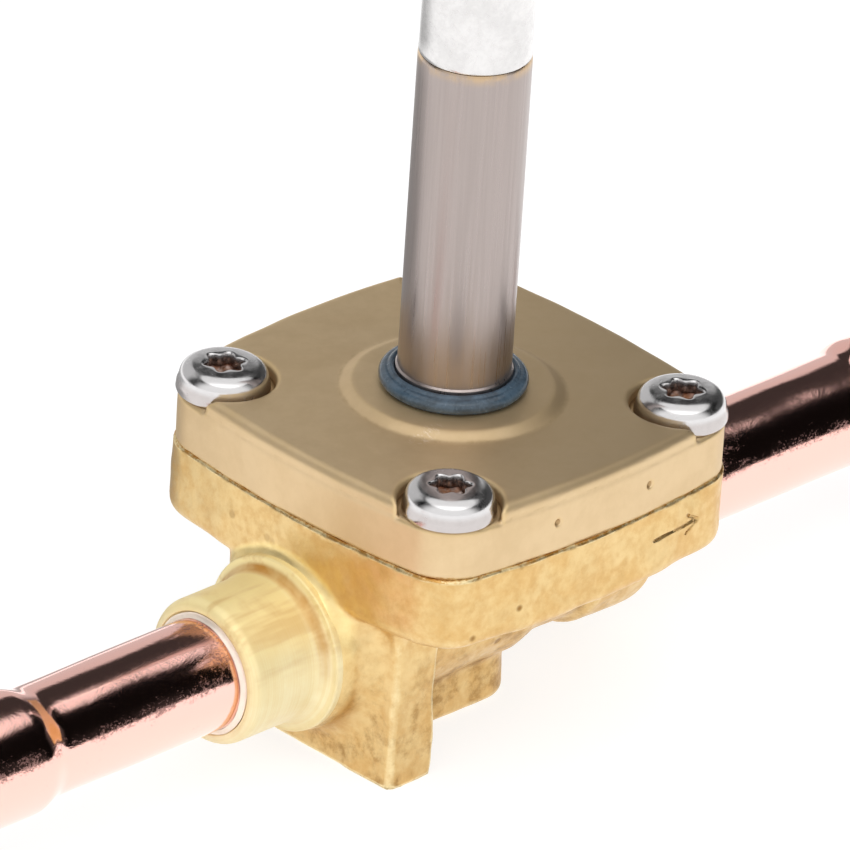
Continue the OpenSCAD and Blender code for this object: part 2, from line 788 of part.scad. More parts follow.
module pilot_seal() {
    color("#f2f0ea") translate([0, 0, armature_z])
        cylinder(r = pilot_seal_r, h = pilot_seal_t - push_gap);
}

// Helical spring with one closed turn at each end
module armature_spring() {
    low = spring_z + wire_d / 2 + push_gap;
    high = core_face_z - wire_d / 2 - push_gap;
    helix_r = spring_r - wire_d / 2;
    steps = 18;
    sides = 8;
    closed = wire_d * 1.03;
    free = high - low - 2 * closed;
    color("#a8abae")
    skin([for (i = [0:spring_turns * steps])
        let (turn = i / steps,
             rise = turn < 1 ? turn * closed
                  : turn > spring_turns - 1 ? closed + free + (turn - spring_turns + 1) * closed
                  : closed + free * (turn - 1) / (spring_turns - 2))
        [for (j = [0:sides - 1]) let (t = -360 * j / sides)
            [(helix_r + wire_d / 2 * cos(t)) * cos(360 * turn),
             (helix_r + wire_d / 2 * cos(t)) * sin(360 * turn),
             low + rise + wire_d / 2 * sin(t)]]]);
}

// Rubber ring round the tube's foot with a thin lip that grips the tube
module coil_o_ring() {
    inner = tube_foot_r + push_gap;
    color("#3f4a58")
    rotate_extrude() {
        translate([inner + ring_d / 2, ring_mid_z]) circle(r = ring_d / 2, $fn = 32);
        translate([inner + ring_lip_r, ring_lip_z]) circle(r = ring_lip_r, $fn = 20);
    }
}

module tube_gasket() {
    color("#c2c4c6") ring(tube_flange_r, tube_foot_r + 0.1, tube_gasket_z, tube_gasket_t);
}

// Threaded ring that presses the tube's flange against its gasket, with two key slots
module tube_retainer() {
    slot = [2.4, 1.8, 1];
    color("#c79a3f")
    difference() {
        ring(retainer_r, tube_r + 0.1, retainer_z, retainer_h);
        for (s = [-1, 1])
            translate([s * (retainer_r - 1) - slot.x / 2, -slot.y / 2, retainer_z - cut])
                cube(slot + [0, 0, cut]);
    }
}

valve_body();
cover();
cover_screws();
cover_gasket();
inlet_tube();
outlet_tube();
inlet_braze();
outlet_braze();
diaphragm();
support_plate();
diaphragm_hub();
hub_nut();
pilot_nozzle();
main_seal();
seal_retainer();
armature_tube();
fixed_core();
shading_ring();
armature();
pilot_seal();
armature_spring();
coil_o_ring();
tube_gasket();
tube_retainer();
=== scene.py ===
"""Refrigeration solenoid valve: forged brass body, olive cover, four pan head screws, copper stubs,
steel armature tube with a rubber ring, and the working parts inside, on a plain pale floor."""

import math

import bmesh
import bpy
import numpy as np
from bpy.props import FloatProperty, FloatVectorProperty, PointerProperty
from mathutils import Matrix, Vector


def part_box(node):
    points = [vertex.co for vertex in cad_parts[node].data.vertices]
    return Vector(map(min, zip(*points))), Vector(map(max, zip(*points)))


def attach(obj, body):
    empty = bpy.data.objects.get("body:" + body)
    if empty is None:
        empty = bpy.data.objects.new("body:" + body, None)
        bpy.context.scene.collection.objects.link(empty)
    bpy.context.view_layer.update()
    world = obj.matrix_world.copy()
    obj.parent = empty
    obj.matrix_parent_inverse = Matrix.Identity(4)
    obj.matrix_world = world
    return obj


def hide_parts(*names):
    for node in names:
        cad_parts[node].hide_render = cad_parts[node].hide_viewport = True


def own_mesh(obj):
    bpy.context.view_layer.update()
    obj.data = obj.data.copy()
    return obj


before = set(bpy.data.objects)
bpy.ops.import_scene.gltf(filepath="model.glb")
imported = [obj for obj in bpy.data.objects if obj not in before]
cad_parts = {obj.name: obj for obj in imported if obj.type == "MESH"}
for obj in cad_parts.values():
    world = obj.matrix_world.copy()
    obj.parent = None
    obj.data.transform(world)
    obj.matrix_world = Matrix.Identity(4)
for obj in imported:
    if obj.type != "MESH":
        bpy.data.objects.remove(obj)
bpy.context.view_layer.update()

bl_info = {
    "name": "Refrigeration solenoid valve",
    "version": (1, 0, 0),
    "blender": (4, 5, 0),
    "location": "3D View > Sidebar > Valve",
    "description": "Builds the valve's forged, turned and moulded pieces round its CAD frame",
    "category": "Add Mesh",
}

MM = 0.001
SEED = 7

# Screen behind the object: its side, the side it turns up to, the angles at which its top fades,
# how much higher it stands on the left, its brightness, and what is left of that on the right
SCREEN_SIDE = (0.69, 0.72, 0.0)
SCREEN_TURN = (-0.72, 0.69, 0)
SCREEN_TOP = (24, 31)
SCREEN_LIFT = 0.3
SCREEN_LIGHT = 0.7
SCREEN_RIGHT = 0.12

# Brightness of the room in front, of the room behind and of the light from the camera's side
ROOM_LIGHT = 0.003
BACK_LIGHT = 0.045
SIDE_LIGHT = 1.15

# Lamp overhead: its direction, the angles of its soft edge and its brightness
LAMP_AIM = (0.0, -0.113, 0.994)
LAMP_EDGE = (39.3, 39.55)
LAMP_LIGHT = 1.1

# Floor: half its width in metres, its own light for the camera and for reflections, the share of
# that own light, and a dark card on it that only reflections see, with its place and its radii
FLOOR_HALF = 12.0
FLOOR_GLOW = 1.32
FLOOR_SHEEN = 1.75
FLOOR_SHARE = 0.6
FLOOR_CARD = (0.0, 0.12, 0.0)
FLOOR_CARD_R = (0.05, 0.1)
FLOOR_CARD_LIGHT = 0.15

# Flow arrow in millimetres, its height above the flange's underside, the depth of its groove and
# the bend value that gives the groove the painted shade of a deep hollow
ARROW = {"tail": 8.2, "tip": 15.8, "head": 2.0, "spread": 0.58, "line": 0.3}
ARROW_RISE = 5.35
ARROW_DEPTH = 0.18
ARROW_SHADE = -1.3

# Dimples in the sides of the cover: distance from the middle, height above the parting plane and
# radius, in millimetres
DIMPLE_X = 7.1
DIMPLE_RISE = 3.6
DIMPLE_R = 0.55

# Place that brings the scuff on the cover's side to zero, in metres
SCUFF_PLACE = (0.0103, 0.01366, -0.0382)

# Clearance left under the core's face, in millimetres, where the lifted armature touches it
CORE_RELIEF = 0.05


def frame_sizes():
    """Sizes that the CAD frame fixes, in millimetres, read from the boxes of its nodes."""
    body_low, body_high = (np.array(c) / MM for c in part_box("valve_body"))
    cover_low, cover_high = (np.array(c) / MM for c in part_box("cover"))
    tube_low, tube_high = (np.array(c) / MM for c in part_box("armature_tube"))
    core_low, core_high = (np.array(c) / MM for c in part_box("fixed_core"))
    ring_low, ring_high = (np.array(c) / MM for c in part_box("coil_o_ring"))
    screw_low, screw_high = (np.array(c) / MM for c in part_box("cover_screws"))
    stub_low, stub_high = (np.array(c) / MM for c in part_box("outlet_tube"))
    return {
        "body_w": body_high[1] - body_low[1],
        "inlet_reach": -body_low[0],
        "outlet_reach": body_high[0],
        "part_z": body_high[2],
        "cover_w": cover_high[1] - cover_low[1],
        "boss_z": cover_high[2],
        "flange_low_z": tube_low[2],
        "weld_z": tube_high[2],
        "tube_r": core_high[0],
        "core_face_z": core_low[2],
        "core_z": core_high[2],
        "ring_r": ring_high[0],
        "ring_top_z": ring_high[2],
        "screw_low_z": screw_low[2],
        "screw_top_z": screw_high[2],
        "screw_reach": screw_high[0],
        "axis_z": (stub_low[2] + stub_high[2]) / 2,
        "stub_reach": stub_high[0],
        "swage_r": stub_high[1],
    }


CAD = frame_sizes()


def mm_prop(name, value, text, low=0.0):
    """Length property: the default is given in millimetres and held in metres."""
    return FloatProperty(name=name, default=value * MM, min=low, description=text,
                         unit="LENGTH", subtype="DISTANCE", precision=5)


def colour_prop(name, value, text):
    """Colour property from red, green and blue as a picture shows them, 0 to 255."""
    linear = [((c / 255 + 0.055) / 1.055) ** 2.4 if c > 10 else c / 255 / 12.92 for c in value]
    return FloatVectorProperty(name=name, default=linear, size=3, min=0, max=1,
                               description=text, subtype="COLOR")


class ValveShape(bpy.types.PropertyGroup):
    """Lengths that a user may change, apart from those that the CAD frame fixes."""

    grid: mm_prop("Body grid", 0.42, "Cell size of the body's surface net", 0.0002)
    cover_grid: mm_prop("Cover grid", 0.3, "Cell size of the cover's surface net", 0.0002)
    side_bow: mm_prop("Side bow", 2.0, "How far each side of the flange bows out")
    corner_r: mm_prop("Corner radius", 6.0, "Radius of the flange's corners")
    flange_t: mm_prop("Flange thickness", 9.1, "Thickness of the body's flange")
    flange_edge: mm_prop("Flange edge", 1.8, "Rounding of the flange's lower edge")
    barrel_r: mm_prop("Barrel radius", 10.5, "Radius of the barrel along the pipe axis")
    barrel_half: mm_prop("Barrel half length", 24.0, "Half length of the barrel")
    waist: mm_prop("Waist", 0.9, "Depth of the barrel's waist on the outlet side")
    slab_reach: mm_prop("Slab reach", 20.0, "Distance of the slab's outer face from the middle")
    slab_t: mm_prop("Slab thickness", 6.5, "Thickness of the slab under the inlet")
    slab_w: mm_prop("Slab width", 27.2, "Width of the slab under the inlet")
    web_w: mm_prop("Web width", 11.0, "Width of the web behind the slab")
    web_reach: mm_prop("Web reach", 8.4, "Distance of the web's round end from the middle")
    belly_r: mm_prop("Belly radius", 17.2, "Radius of the belly under the flange")
    belly_drop: mm_prop("Belly depth", 3.9, "Depth of the belly below the flange")
    brow_r: mm_prop("Brow fillet", 3.4, "Fillet from the slab's face to the flange")
    root_r: mm_prop("Root fillet", 3.0, "Fillet round the barrel's root")
    lip_r: mm_prop("Lip fillet", 0.9, "Fillet from the barrel's top to the flange's side")
    unevenness: mm_prop("Unevenness", 0.09, "Height of the forged surface's waves")
    sleeve_r: mm_prop("Sleeve radius", 8.5, "Outer radius of the turned sleeves")
    collar_r: mm_prop("Collar radius", 10.2, "Radius of the collar at the sleeve's root")
    outlet_collar_r: mm_prop("Outlet collar radius", 9.5, "Radius of the outlet sleeve's collar")
    collar_len: mm_prop("Collar length", 1.8, "Length of the collar from the barrel's end")
    stub_r: mm_prop("Stub radius", 6.45, "Outer radius of the copper stubs")
    stub_wall: mm_prop("Stub wall", 0.9, "Wall of the copper stubs")
    swage_depth: mm_prop("Swage depth", 10.0, "Depth of the solder socket in the stub's end")
    swage_cone: mm_prop("Swage cone", 3.5, "Length of the cone between stub and socket")
    shoulder: mm_prop("Cover shoulder", 1.2, "Rounding of the cover's upper edge")
    boss_r: mm_prop("Raised middle", 12.4, "Radius of the cover's raised middle")
    boss_h: mm_prop("Raised height", 0.8, "Height of the cover's raised middle")
    seat_r: mm_prop("Screw seat", 5.85, "Radius of the seat cut round each screw head")
    seat_drop: mm_prop("Screw seat depth", 1.75, "Depth of the screw seats below the cover's top")
    head_r: mm_prop("Screw head", 5.3, "Radius of the screw heads")
    head_side: mm_prop("Head side", 1.7, "Height of the straight side of the screw heads")
    lobe_r: mm_prop("Recess radius", 2.45, "Radius across the points of the six-lobe recess")
    lobe_depth: mm_prop("Recess depth", 1.5, "Depth of the six-lobe recess")
    tube_wall: mm_prop("Tube wall", 0.45, "Wall of the armature tube")
    ring_d: mm_prop("Ring section", 1.78, "Section diameter of the rubber ring")


class ValveFinish(bpy.types.PropertyGroup):
    """Colours of the finishes."""

    brass: colour_prop("Forged brass", (228, 199, 143), "Main colour of the forged body")
    brass_deep: colour_prop("Deep brass", (218, 180, 118), "Darker patches of the forged body")
    # Dark colour of the pits and of the body's lower patches, and painted shade in the hollows of body
    # and cover.
    brass_dirt: colour_prop("Brass dirt", (146, 108, 56), "Dull film left in the body's hollows")
    turned: colour_prop("Turned brass", (255, 243, 198), "Machined sleeves")
    turned_deep: colour_prop("Turned brass shade", (240, 212, 140), "Streaks on the sleeves")
    # Brown of the line under the parting plane and of a few stain patches, and painted dark reflection
    # in the sleeves' flares and streaks.
    stain: colour_prop("Brass stain", (196, 138, 52), "Stain in the sleeves' hollow flares")
    cover: colour_prop("Cover", (227, 201, 160), "Matte cover")
    cover_deep: colour_prop("Cover shade", (219, 192, 150), "Patches of the cover")
    copper: colour_prop("Copper", (252, 198, 186), "Copper stubs")
    copper_film: colour_prop("Copper film", (176, 132, 126), "Fine rough flecks on the copper")
    braze: colour_prop("Braze", (254, 240, 224), "Braze ring in the sleeve's mouth")
    screw: colour_prop("Screw steel", (210, 208, 208), "Polished stainless screws")
    # Brown stain in the recesses, and painted brown reflection of the cover on the heads' sides.
    screw_rust: colour_prop("Recess stain", (122, 84, 60), "Brown stain in the screws' recesses")
    tube: colour_prop("Tube steel", (168, 157, 153), "Satin armature tube")
    core: colour_prop("Core steel", (222, 220, 219), "Bright core above the weld")
    # Painted golden reflection on the sleeves' upper side, and painted light round the collars on the
    # body.
    golden: colour_prop("Golden brass", (255, 234, 168), "Upper side of the turned sleeves")
    rubber: colour_prop("Rubber", (54, 68, 80), "Rubber ring")


class ValveStage(bpy.types.PropertyGroup):
    """Camera and stage."""

    azimuth: FloatProperty(name="Azimuth", default=math.radians(-46.031), subtype="ANGLE",
                           description="Camera's turn round the upright axis")
    elevation: FloatProperty(name="Elevation", default=math.radians(28.131), subtype="ANGLE",
                             description="Camera's height above the horizon")
    roll: FloatProperty(name="Roll", default=math.radians(3.827), subtype="ANGLE",
                        description="Camera's turn about its own axis")
    distance: FloatProperty(name="Distance", default=2.43025, unit="LENGTH", subtype="DISTANCE",
                            description="Camera's distance from the crossing of the two axes")
    right: mm_prop("Right", -2.791, "Camera's shift to its right", -1.0)
    up: mm_prop("Up", 16.423, "Camera's shift upwards in the picture", -1.0)
    lens: FloatProperty(name="Lens", default=927.78, description="Focal length in millimetres",
                        unit="CAMERA")


def shape():
    """Shape sizes of the current scene, as an object whose lengths are in millimetres."""
    group = bpy.context.scene.valve_shape
    names = ValveShape.__annotations__
    return type("Sizes", (), {n: getattr(group, n) / MM for n in names})


# Distance fields: negative inside, in millimetres


def round_max(a, b, r):
    """Common part of two fields with a round edge: near the edge, the distance is measured
    from a circle of radius r that touches both faces."""
    return np.minimum(np.maximum(a, b), -r) + np.hypot(np.maximum(a + r, 0), np.maximum(b + r, 0))


def round_min(a, b, r):
    """Union of two fields with a hollow fillet of radius r where they meet."""
    return -round_max(-a, -b, r)


def smooth_step(t):
    """Runs from 0 to 1 with level ends: 3t squared minus 2t cubed."""
    t = np.clip(t, 0, 1)
    return t * t * (3 - 2 * t)


def bowed_plan(x, y, w, bow, corner):
    """Distance to a square of width w with bowed sides and round corners. The plan is folded
    into one eighth, where the side is an arc about a far centre (m, 0) and the corner an arc
    about (k, k) that touches it."""
    c = w / 2 - bow
    side_r = (c * c + bow * bow) / (2 * bow)
    m = w / 2 - side_r
    k = (m + math.sqrt(2 * (side_r - corner) ** 2 - m * m)) / 2
    end = math.atan2(k, k - m)
    ax, ay = np.abs(x), np.abs(y)
    u, v = np.maximum(ax, ay), np.minimum(ax, ay)
    side = np.hypot(u - m, v) - side_r
    round_corner = np.hypot(u - k, v - k) - corner
    return np.where(np.arctan2(v, u - m) < end, side, round_corner)


def waves(x, y, z, length, seed, count=14):
    """Slow random waves: the mean of sines that run in random directions, with wavelengths
    about the given length."""
    rng = np.random.RandomState(seed)
    total = 0
    for _ in range(count):
        d = rng.normal(size=3)
        d *= 2 * math.pi / (np.linalg.norm(d) * length * rng.uniform(0.6, 1.6))
        total = total + np.sin(d[0] * x + d[1] * y + d[2] * z + rng.uniform(0, 2 * math.pi))
    return total / math.sqrt(count)


def arrow_plan(x, z, tail, tip, head, spread, line):
    """Distance in the wall's plane to a thin arrow along X: the nearest of its three strokes."""
    def stroke(x0, z0, x1, z1):
        dx, dz = x1 - x0, z1 - z0
        t = np.clip(((x - x0) * dx + (z - z0) * dz) / (dx * dx + dz * dz), 0, 1)
        return np.hypot(x - x0 - t * dx, z - z0 - t * dz) - line / 2

    shaft = stroke(tail, 0, tip - line, 0)
    barbs = [stroke(tip, 0, tip - head, side * spread * head) for side in (1, -1)]
    return np.minimum(shaft, np.minimum(*barbs))




def body_field(x, y, z):
    """Forged body: flange, slab, web, belly and barrel joined by fillets, waved a little, then
    cut by its bores."""
    s = shape()
    top = CAD["part_z"]
    low = top - s.flange_t
    axis = CAD["axis_z"]
    radial = np.hypot(y, z - axis)
    flange = round_max(bowed_plan(x, y, CAD["body_w"], s.side_bow, s.corner_r), low - z,
                       s.flange_edge)
    edge_r, foot_r, belly_edge, sink = 0.9, 0.3, 2.2, 2
    slab = round_max(np.abs(y) - s.slab_w / 2, -s.slab_reach - x, edge_r)
    slab = round_max(round_max(slab, -z, foot_r), x + s.slab_reach - s.slab_t, foot_r)
    slab = np.maximum(slab, z - low - sink - 1)
    web_r = s.web_w / 2
    web = np.where(x > s.web_reach - web_r, np.hypot(x - s.web_reach + web_r, y), np.abs(y)) - web_r
    web = round_max(web, -z, edge_r)
    web = np.maximum(np.maximum(web, -x - s.slab_reach + s.slab_t / 2), z - axis)
    belly = round_max(np.hypot(x, y) - s.belly_r, low - s.belly_drop - z, belly_edge)
    belly = np.maximum(belly, z - low - sink)
    upper = round_min(round_min(flange, belly, 1.2), slab, s.brow_r)
    root = s.root_r - (s.root_r - s.lip_r) * smooth_step((z - low + 2) / 5)
    solid = round_min(round_min(upper, barrel_field(s, x, radial), root), web, edge_r)
    solid = np.maximum(solid, np.abs(x) - s.barrel_half - s.collar_len + 0.1)
    solid = solid + s.unevenness * waves(x, y, z, 9, SEED)
    solid = solid + 0.35 * s.unevenness * waves(x, y, z, 3.2, SEED + 1)
    solid = np.maximum(round_max(solid, z - top, 0.12), -z)
    solid = round_max(solid, -arrow_groove(x, y, z), 0.08)
    return np.maximum(solid, -body_hollows(x, y, z, radial))


def barrel_field(s, x, radial):
    """Barrel round the pipe axis: it narrows to a waist on the outlet side, and at each end to a
    neck just under the collar."""
    start, rise, fall, neck_len = 4, 5, 1.7, 2.6
    back = smooth_step((s.barrel_half - 9.7 - x) / fall + 1)
    waist = np.where(x > start, s.waist * smooth_step((x - start) / rise) * back, 0)
    end = s.barrel_half + s.collar_len - 0.1
    drop = s.barrel_r - np.where(x < 0, s.collar_r, s.outlet_collar_r) + 0.2
    neck = drop * smooth_step((np.abs(x) - end + neck_len) / neck_len)
    return radial - s.barrel_r + waist + neck


def arrow_groove(x, y, z):
    """Groove of the flow arrow in the flange's near side, negative inside it."""
    s = shape()
    plan = arrow_plan(x, z - CAD["part_z"] + s.flange_t - ARROW_RISE, **ARROW)
    wall = bowed_plan(x, y, CAD["body_w"], s.side_bow, s.corner_r)
    return np.where(y < 0, round_max(plan, -wall - ARROW_DEPTH, 0.12), 9.0)


def body_hollows(x, y, z, radial):
    """Chamber, seat bore, ports, sockets and tapped holes, as one field that is negative
    inside them."""
    top, axis = CAD["part_z"], CAD["axis_z"]
    around = np.hypot(x, y)
    floor_z, seat_z = axis + 6.5, axis + 10.4
    chamber_r, seat_r, seat_bore_r, recess_r = 15, 7, 5, 19.52
    port_r, port_mid, port_half, wall = 5.5, -2.25, 22.8, (-9.5, -3.5)
    socket_r, socket_depth, riser_x, riser_r = 6.6, 8.5, -11.2, 3.6
    screw_r, screw_depth, tap_x, tap_y, tap_r, tap_depth = 2.54, 7.6, -16.75, 9.5, 1.65, 9
    step = np.minimum(seat_r - around, seat_z - z)
    chamber = np.maximum(around - chamber_r, np.maximum(floor_z - z, step))
    recess = np.maximum(around - recess_r, top - 1 - z)
    seat = np.maximum(around - seat_bore_r, axis - z)
    ports = np.maximum(radial - port_r, np.abs(x - port_mid) - port_half)
    ports = np.maximum(ports, np.where((x > wall[0]) & (x < wall[1]), 1, -1))
    reach = np.where(x < 0, CAD["inlet_reach"], CAD["outlet_reach"])
    sockets = np.maximum(radial - socket_r, reach - socket_depth - np.abs(x))
    riser = np.maximum(axis - z, z - floor_z - 1)
    riser = np.maximum(np.hypot(x - riser_x, y) - riser_r, riser)
    inset = CAD["screw_reach"] - shape().head_r
    screws = np.hypot(np.abs(x) - inset, np.abs(y) - inset)
    screws = np.maximum(screws - screw_r, top - screw_depth - z)
    taps = np.maximum(np.hypot(x - tap_x, np.abs(y) - tap_y) - tap_r, z - tap_depth)
    hollows = chamber
    for part in (recess, seat, ports, sockets, riser, screws, taps):
        hollows = np.minimum(hollows, part)
    return hollows


def cover_field(x, y, z):
    """Cover: bowed block with a round shoulder, a low raised middle and a soft seat round each
    screw, hollow below."""
    s = shape()
    low, boss = CAD["part_z"], CAD["boss_z"]
    top = boss - s.boss_h
    around = np.hypot(x, y)
    wall = bowed_plan(x, y, CAD["cover_w"], s.side_bow, s.corner_r)
    crease = top - 2.1
    wall = wall + 0.13 * smooth_step((z - crease) / 0.5)
    raised = top + s.boss_h * smooth_step((s.boss_r + 0.5 - around) / 1.9)
    solid = round_max(wall, z - raised, s.shoulder)
    solid = solid + 0.03 * waves(x, y, z, 8, SEED + 2)
    inset = CAD["screw_reach"] - s.head_r
    from_screw = np.hypot(np.abs(x) - inset, np.abs(y) - inset)
    seat = np.maximum(from_screw - s.seat_r, top - s.seat_drop - z)
    solid = round_max(solid, -seat, 0.55)
    solid = round_max(solid, low - z, 0.15)
    hole = np.minimum(from_screw - 2.8, around - CAD["tube_r"] - 0.22)
    under = np.maximum(around - 13, z - low - 3.9)
    retainer = np.maximum(around - 9.32, z - boss + 1.3)
    hollow = np.minimum(np.minimum(hole, under), retainer)
    solid = np.maximum(solid, -hollow)
    aside = np.hypot(np.abs(x) - DIMPLE_X, z - low - DIMPLE_RISE)
    ball = np.hypot(aside, y + CAD["cover_w"] / 2 + 0.05) - DIMPLE_R
    return round_max(solid, -ball, 0.1)


# Surface from a field


def surface_net(field, low, high, step):
    """Surface of a field by a net: each grid cell that the surface crosses gets one vertex, the
    mean of the crossings on its twelve edges, and each crossed grid edge gets the quad of its
    four cells. Newton steps along the field's slope then bring the vertices onto the surface."""
    axes = [np.arange(a - 2 * step, b + 3 * step, step) for a, b in zip(low, high)]
    grid = field(axes[0][:, None, None], axes[1][None, :, None], axes[2][None, None, :])
    grid = np.broadcast_to(grid, [len(a) for a in axes]).astype(np.float32)
    inside = grid < 0
    cells = tuple(n - 1 for n in grid.shape)
    total = np.zeros(cells + (3,), np.float32)
    count = np.zeros(cells, np.float32)
    for axis in range(3):
        a = np.moveaxis(grid, axis, 0)
        crossed = (a[:-1] < 0) != (a[1:] < 0)
        gap = a[:-1] - a[1:]
        share = np.where(crossed, a[:-1] / np.where(crossed, gap, 1), 0)
        crossed, share = np.moveaxis(crossed, 0, axis), np.moveaxis(share, 0, axis)
        others = [n for n in range(3) if n != axis]
        for i in (0, 1):
            for j in (0, 1):
                cut = [slice(None)] * 3
                cut[others[0]] = slice(i, i + cells[others[0]])
                cut[others[1]] = slice(j, j + cells[others[1]])
                hit, part = crossed[tuple(cut)], share[tuple(cut)]
                count += hit
                total[..., axis] += np.where(hit, part, 0)
                total[..., others[0]] += i * hit
                total[..., others[1]] += j * hit
    active = count > 0
    index = np.full(cells, -1, np.int64)
    index[active] = np.arange(active.sum())
    start = np.array([a[0] for a in axes])
    points = start + step * (np.argwhere(active) + total[active] / count[active][:, None])
    faces = [net_quads(inside, index, axis) for axis in range(3)]
    return pulled(field, points, step), np.concatenate(faces)


def net_quads(inside, index, axis):
    """Quads round the grid edges along one axis that the surface crosses, facing outwards."""
    others = [(axis + 1) % 3, (axis + 2) % 3]
    order = [axis] + others
    a = np.transpose(inside, order)
    cell = np.transpose(index, order)
    crossed = a[:-1, 1:-1, 1:-1] != a[1:, 1:-1, 1:-1]
    i, j, k = np.nonzero(crossed)
    quads = np.stack([cell[i, j, k], cell[i, j + 1, k], cell[i, j + 1, k + 1], cell[i, j, k + 1]],
                     axis=1)
    leaving = a[i, j + 1, k + 1]
    quads[~leaving] = quads[~leaving][:, ::-1]
    return quads


def pulled(field, points, step, rounds=4):
    """Points moved onto the surface: each round goes back along the slope by field over slope,
    by at most half a step."""
    h = 0.02 * step
    for _ in range(rounds):
        x, y, z = points.T
        value = field(x, y, z)
        slope = np.stack([(field(x + h, y, z) - field(x - h, y, z)) / (2 * h),
                          (field(x, y + h, z) - field(x, y - h, z)) / (2 * h),
                          (field(x, y, z + h) - field(x, y, z - h)) / (2 * h)], axis=1)
        size = np.maximum((slope ** 2).sum(axis=1), 0.25)
        move = -(value / size)[:, None] * slope
        length = np.linalg.norm(move, axis=1)
        move *= np.minimum(1, 0.5 * step / np.maximum(length, 1e-9))[:, None]
        points = points + move
    return points


# Surfaces on a grid of two parameters


def lathe(profile, count=96, axis="z", wobble=None):
    """Closed surface of revolution: a closed profile of (radius, height) points is carried round
    the axis in equal steps. wobble(angle, height) adds to the radius."""
    profile = np.asarray(profile, float)
    angle = np.linspace(0, 2 * np.pi, count, endpoint=False)[:, None]
    radius, height = profile[None, :, 0], profile[None, :, 1] + 0 * angle
    if wobble is not None:
        radius = radius + np.where(radius > 1e-6, wobble(angle, height), 0)
    a, b = radius * np.cos(angle), radius * np.sin(angle)
    points = np.stack([a, b, height], axis=-1)
    if axis == "x":
        points = np.stack([height, a, b], axis=-1)
    return points.reshape(-1, 3), wrapped_quads(count, profile.shape[0])


def wrapped_quads(rows, columns, wrap_columns=True):
    """Quads of a grid whose rows close on themselves, and its columns too if asked."""
    i = np.arange(rows)[:, None]
    j = np.arange(columns if wrap_columns else columns - 1)[None, :]
    i2, j2 = (i + 1) % rows, (j + 1) % columns
    quads = np.stack(np.broadcast_arrays(i * columns + j, i2 * columns + j, i2 * columns + j2,
                                         i * columns + j2), axis=-1)
    return quads.reshape(-1, 4)


def arc(cx, cy, r, start, end, steps):
    """Points of an arc about (cx, cy), from one angle to another in degrees."""
    t = np.radians(np.linspace(start, end, steps + 1))
    return np.stack([cx + r * np.cos(t), cy + r * np.sin(t)], axis=1)


def stretch(points, longest):
    """The closed profile with points added along its straight runs, no more than a given
    distance apart, so that marks and waves along it have vertices."""
    out = []
    for a, b in zip(points, np.roll(points, -1, axis=0)):
        n = max(1, int(math.ceil(np.linalg.norm(b - a) / longest)))
        out.append(a + (b - a) * np.linspace(0, 1, n, endpoint=False)[:, None])
    return np.concatenate(out)


def make_object(name, points, faces, smooth_angle=None, merge=0.0001):
    """Mesh object at the origin from points in millimetres, with its faces turned outwards.
    Points nearer to each other than merge, in millimetres, become one."""
    mesh = bpy.data.meshes.new(name)
    mesh.from_pydata((np.asarray(points) * MM).tolist(), [], np.asarray(faces).tolist())
    mesh.validate()
    work = bmesh.new()
    work.from_mesh(mesh)
    bmesh.ops.remove_doubles(work, verts=work.verts, dist=merge * MM)
    loose = [v for v in work.verts if not v.link_faces]
    bmesh.ops.delete(work, geom=loose, context="VERTS")
    bmesh.ops.recalc_face_normals(work, faces=work.faces)
    work.to_mesh(mesh)
    work.free()
    mesh.shade_smooth()
    if smooth_angle is not None:
        mesh.set_sharp_from_angle(angle=math.radians(smooth_angle))
    obj = bpy.data.objects.new(name, mesh)
    bpy.context.scene.collection.objects.link(obj)
    return obj


def dress(obj, body, slot, material, *nodes):
    """Puts a piece on its body and lets it stand for its CAD nodes; the slot argument is not used."""
    obj.data.materials.clear()
    obj.data.materials.append(material)
    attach(obj, body)
    if nodes:
        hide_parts(*nodes)
    return obj


def mark_bend(obj, field, groove=None, reach=0.45):
    """Keeps how sharply the surface bends as the vertex value "bend", per millimetre: the sum
    of the field at six points at a given reach, less six times the field there, over the reach
    squared. Where a groove's own field is low, the value is that of a deep hollow, which gives the
    groove painted shade."""
    places = np.empty(len(obj.data.vertices) * 3)
    obj.data.vertices.foreach_get("co", places)
    places = places.reshape(-1, 3) / MM
    total = sum(field(*(places + sign * reach * np.eye(3)[axis]).T)
                for axis in range(3) for sign in (-1, 1))
    bend = (total - 6 * field(*places.T)) / reach ** 2
    if groove is not None:
        near = groove(*places.T)
        bend = np.where(near < 0.3, ARROW_SHADE * smooth_step((0.1 - near) / 0.1), bend)
    obj.data.attributes.new("bend", "FLOAT", "POINT").data.foreach_set("value", bend)


def refine(obj, inside, field, cuts, step):
    """Divides the faces whose centres lie inside a region and pulls the new vertices onto the
    field, so that fine grooves and dimples come out."""
    work = bmesh.new()
    work.from_mesh(obj.data)
    work.faces.ensure_lookup_table()
    centres = np.array([f.calc_center_median() for f in work.faces]) / MM
    chosen = np.nonzero(inside(*centres.T))[0]
    edges = {e for i in chosen for e in work.faces[i].edges}
    bmesh.ops.subdivide_edges(work, edges=list(edges), cuts=cuts, use_grid_fill=True)
    places = np.array([v.co for v in work.verts]) / MM
    work.verts.ensure_lookup_table()
    moved = np.nonzero(inside(*places.T))[0]
    for i, point in zip(moved, pulled(field, places[moved], step)):
        work.verts[i].co = point * MM
    work.to_mesh(obj.data)
    work.free()
    obj.data.shade_smooth()


# Materials


def new_material(name):
    """Empty material with its surface shader; returns the node tree and the shader."""
    material = bpy.data.materials.new(name)
    material.use_nodes = True
    shader = material.node_tree.nodes["Principled BSDF"]
    return material, material.node_tree, shader


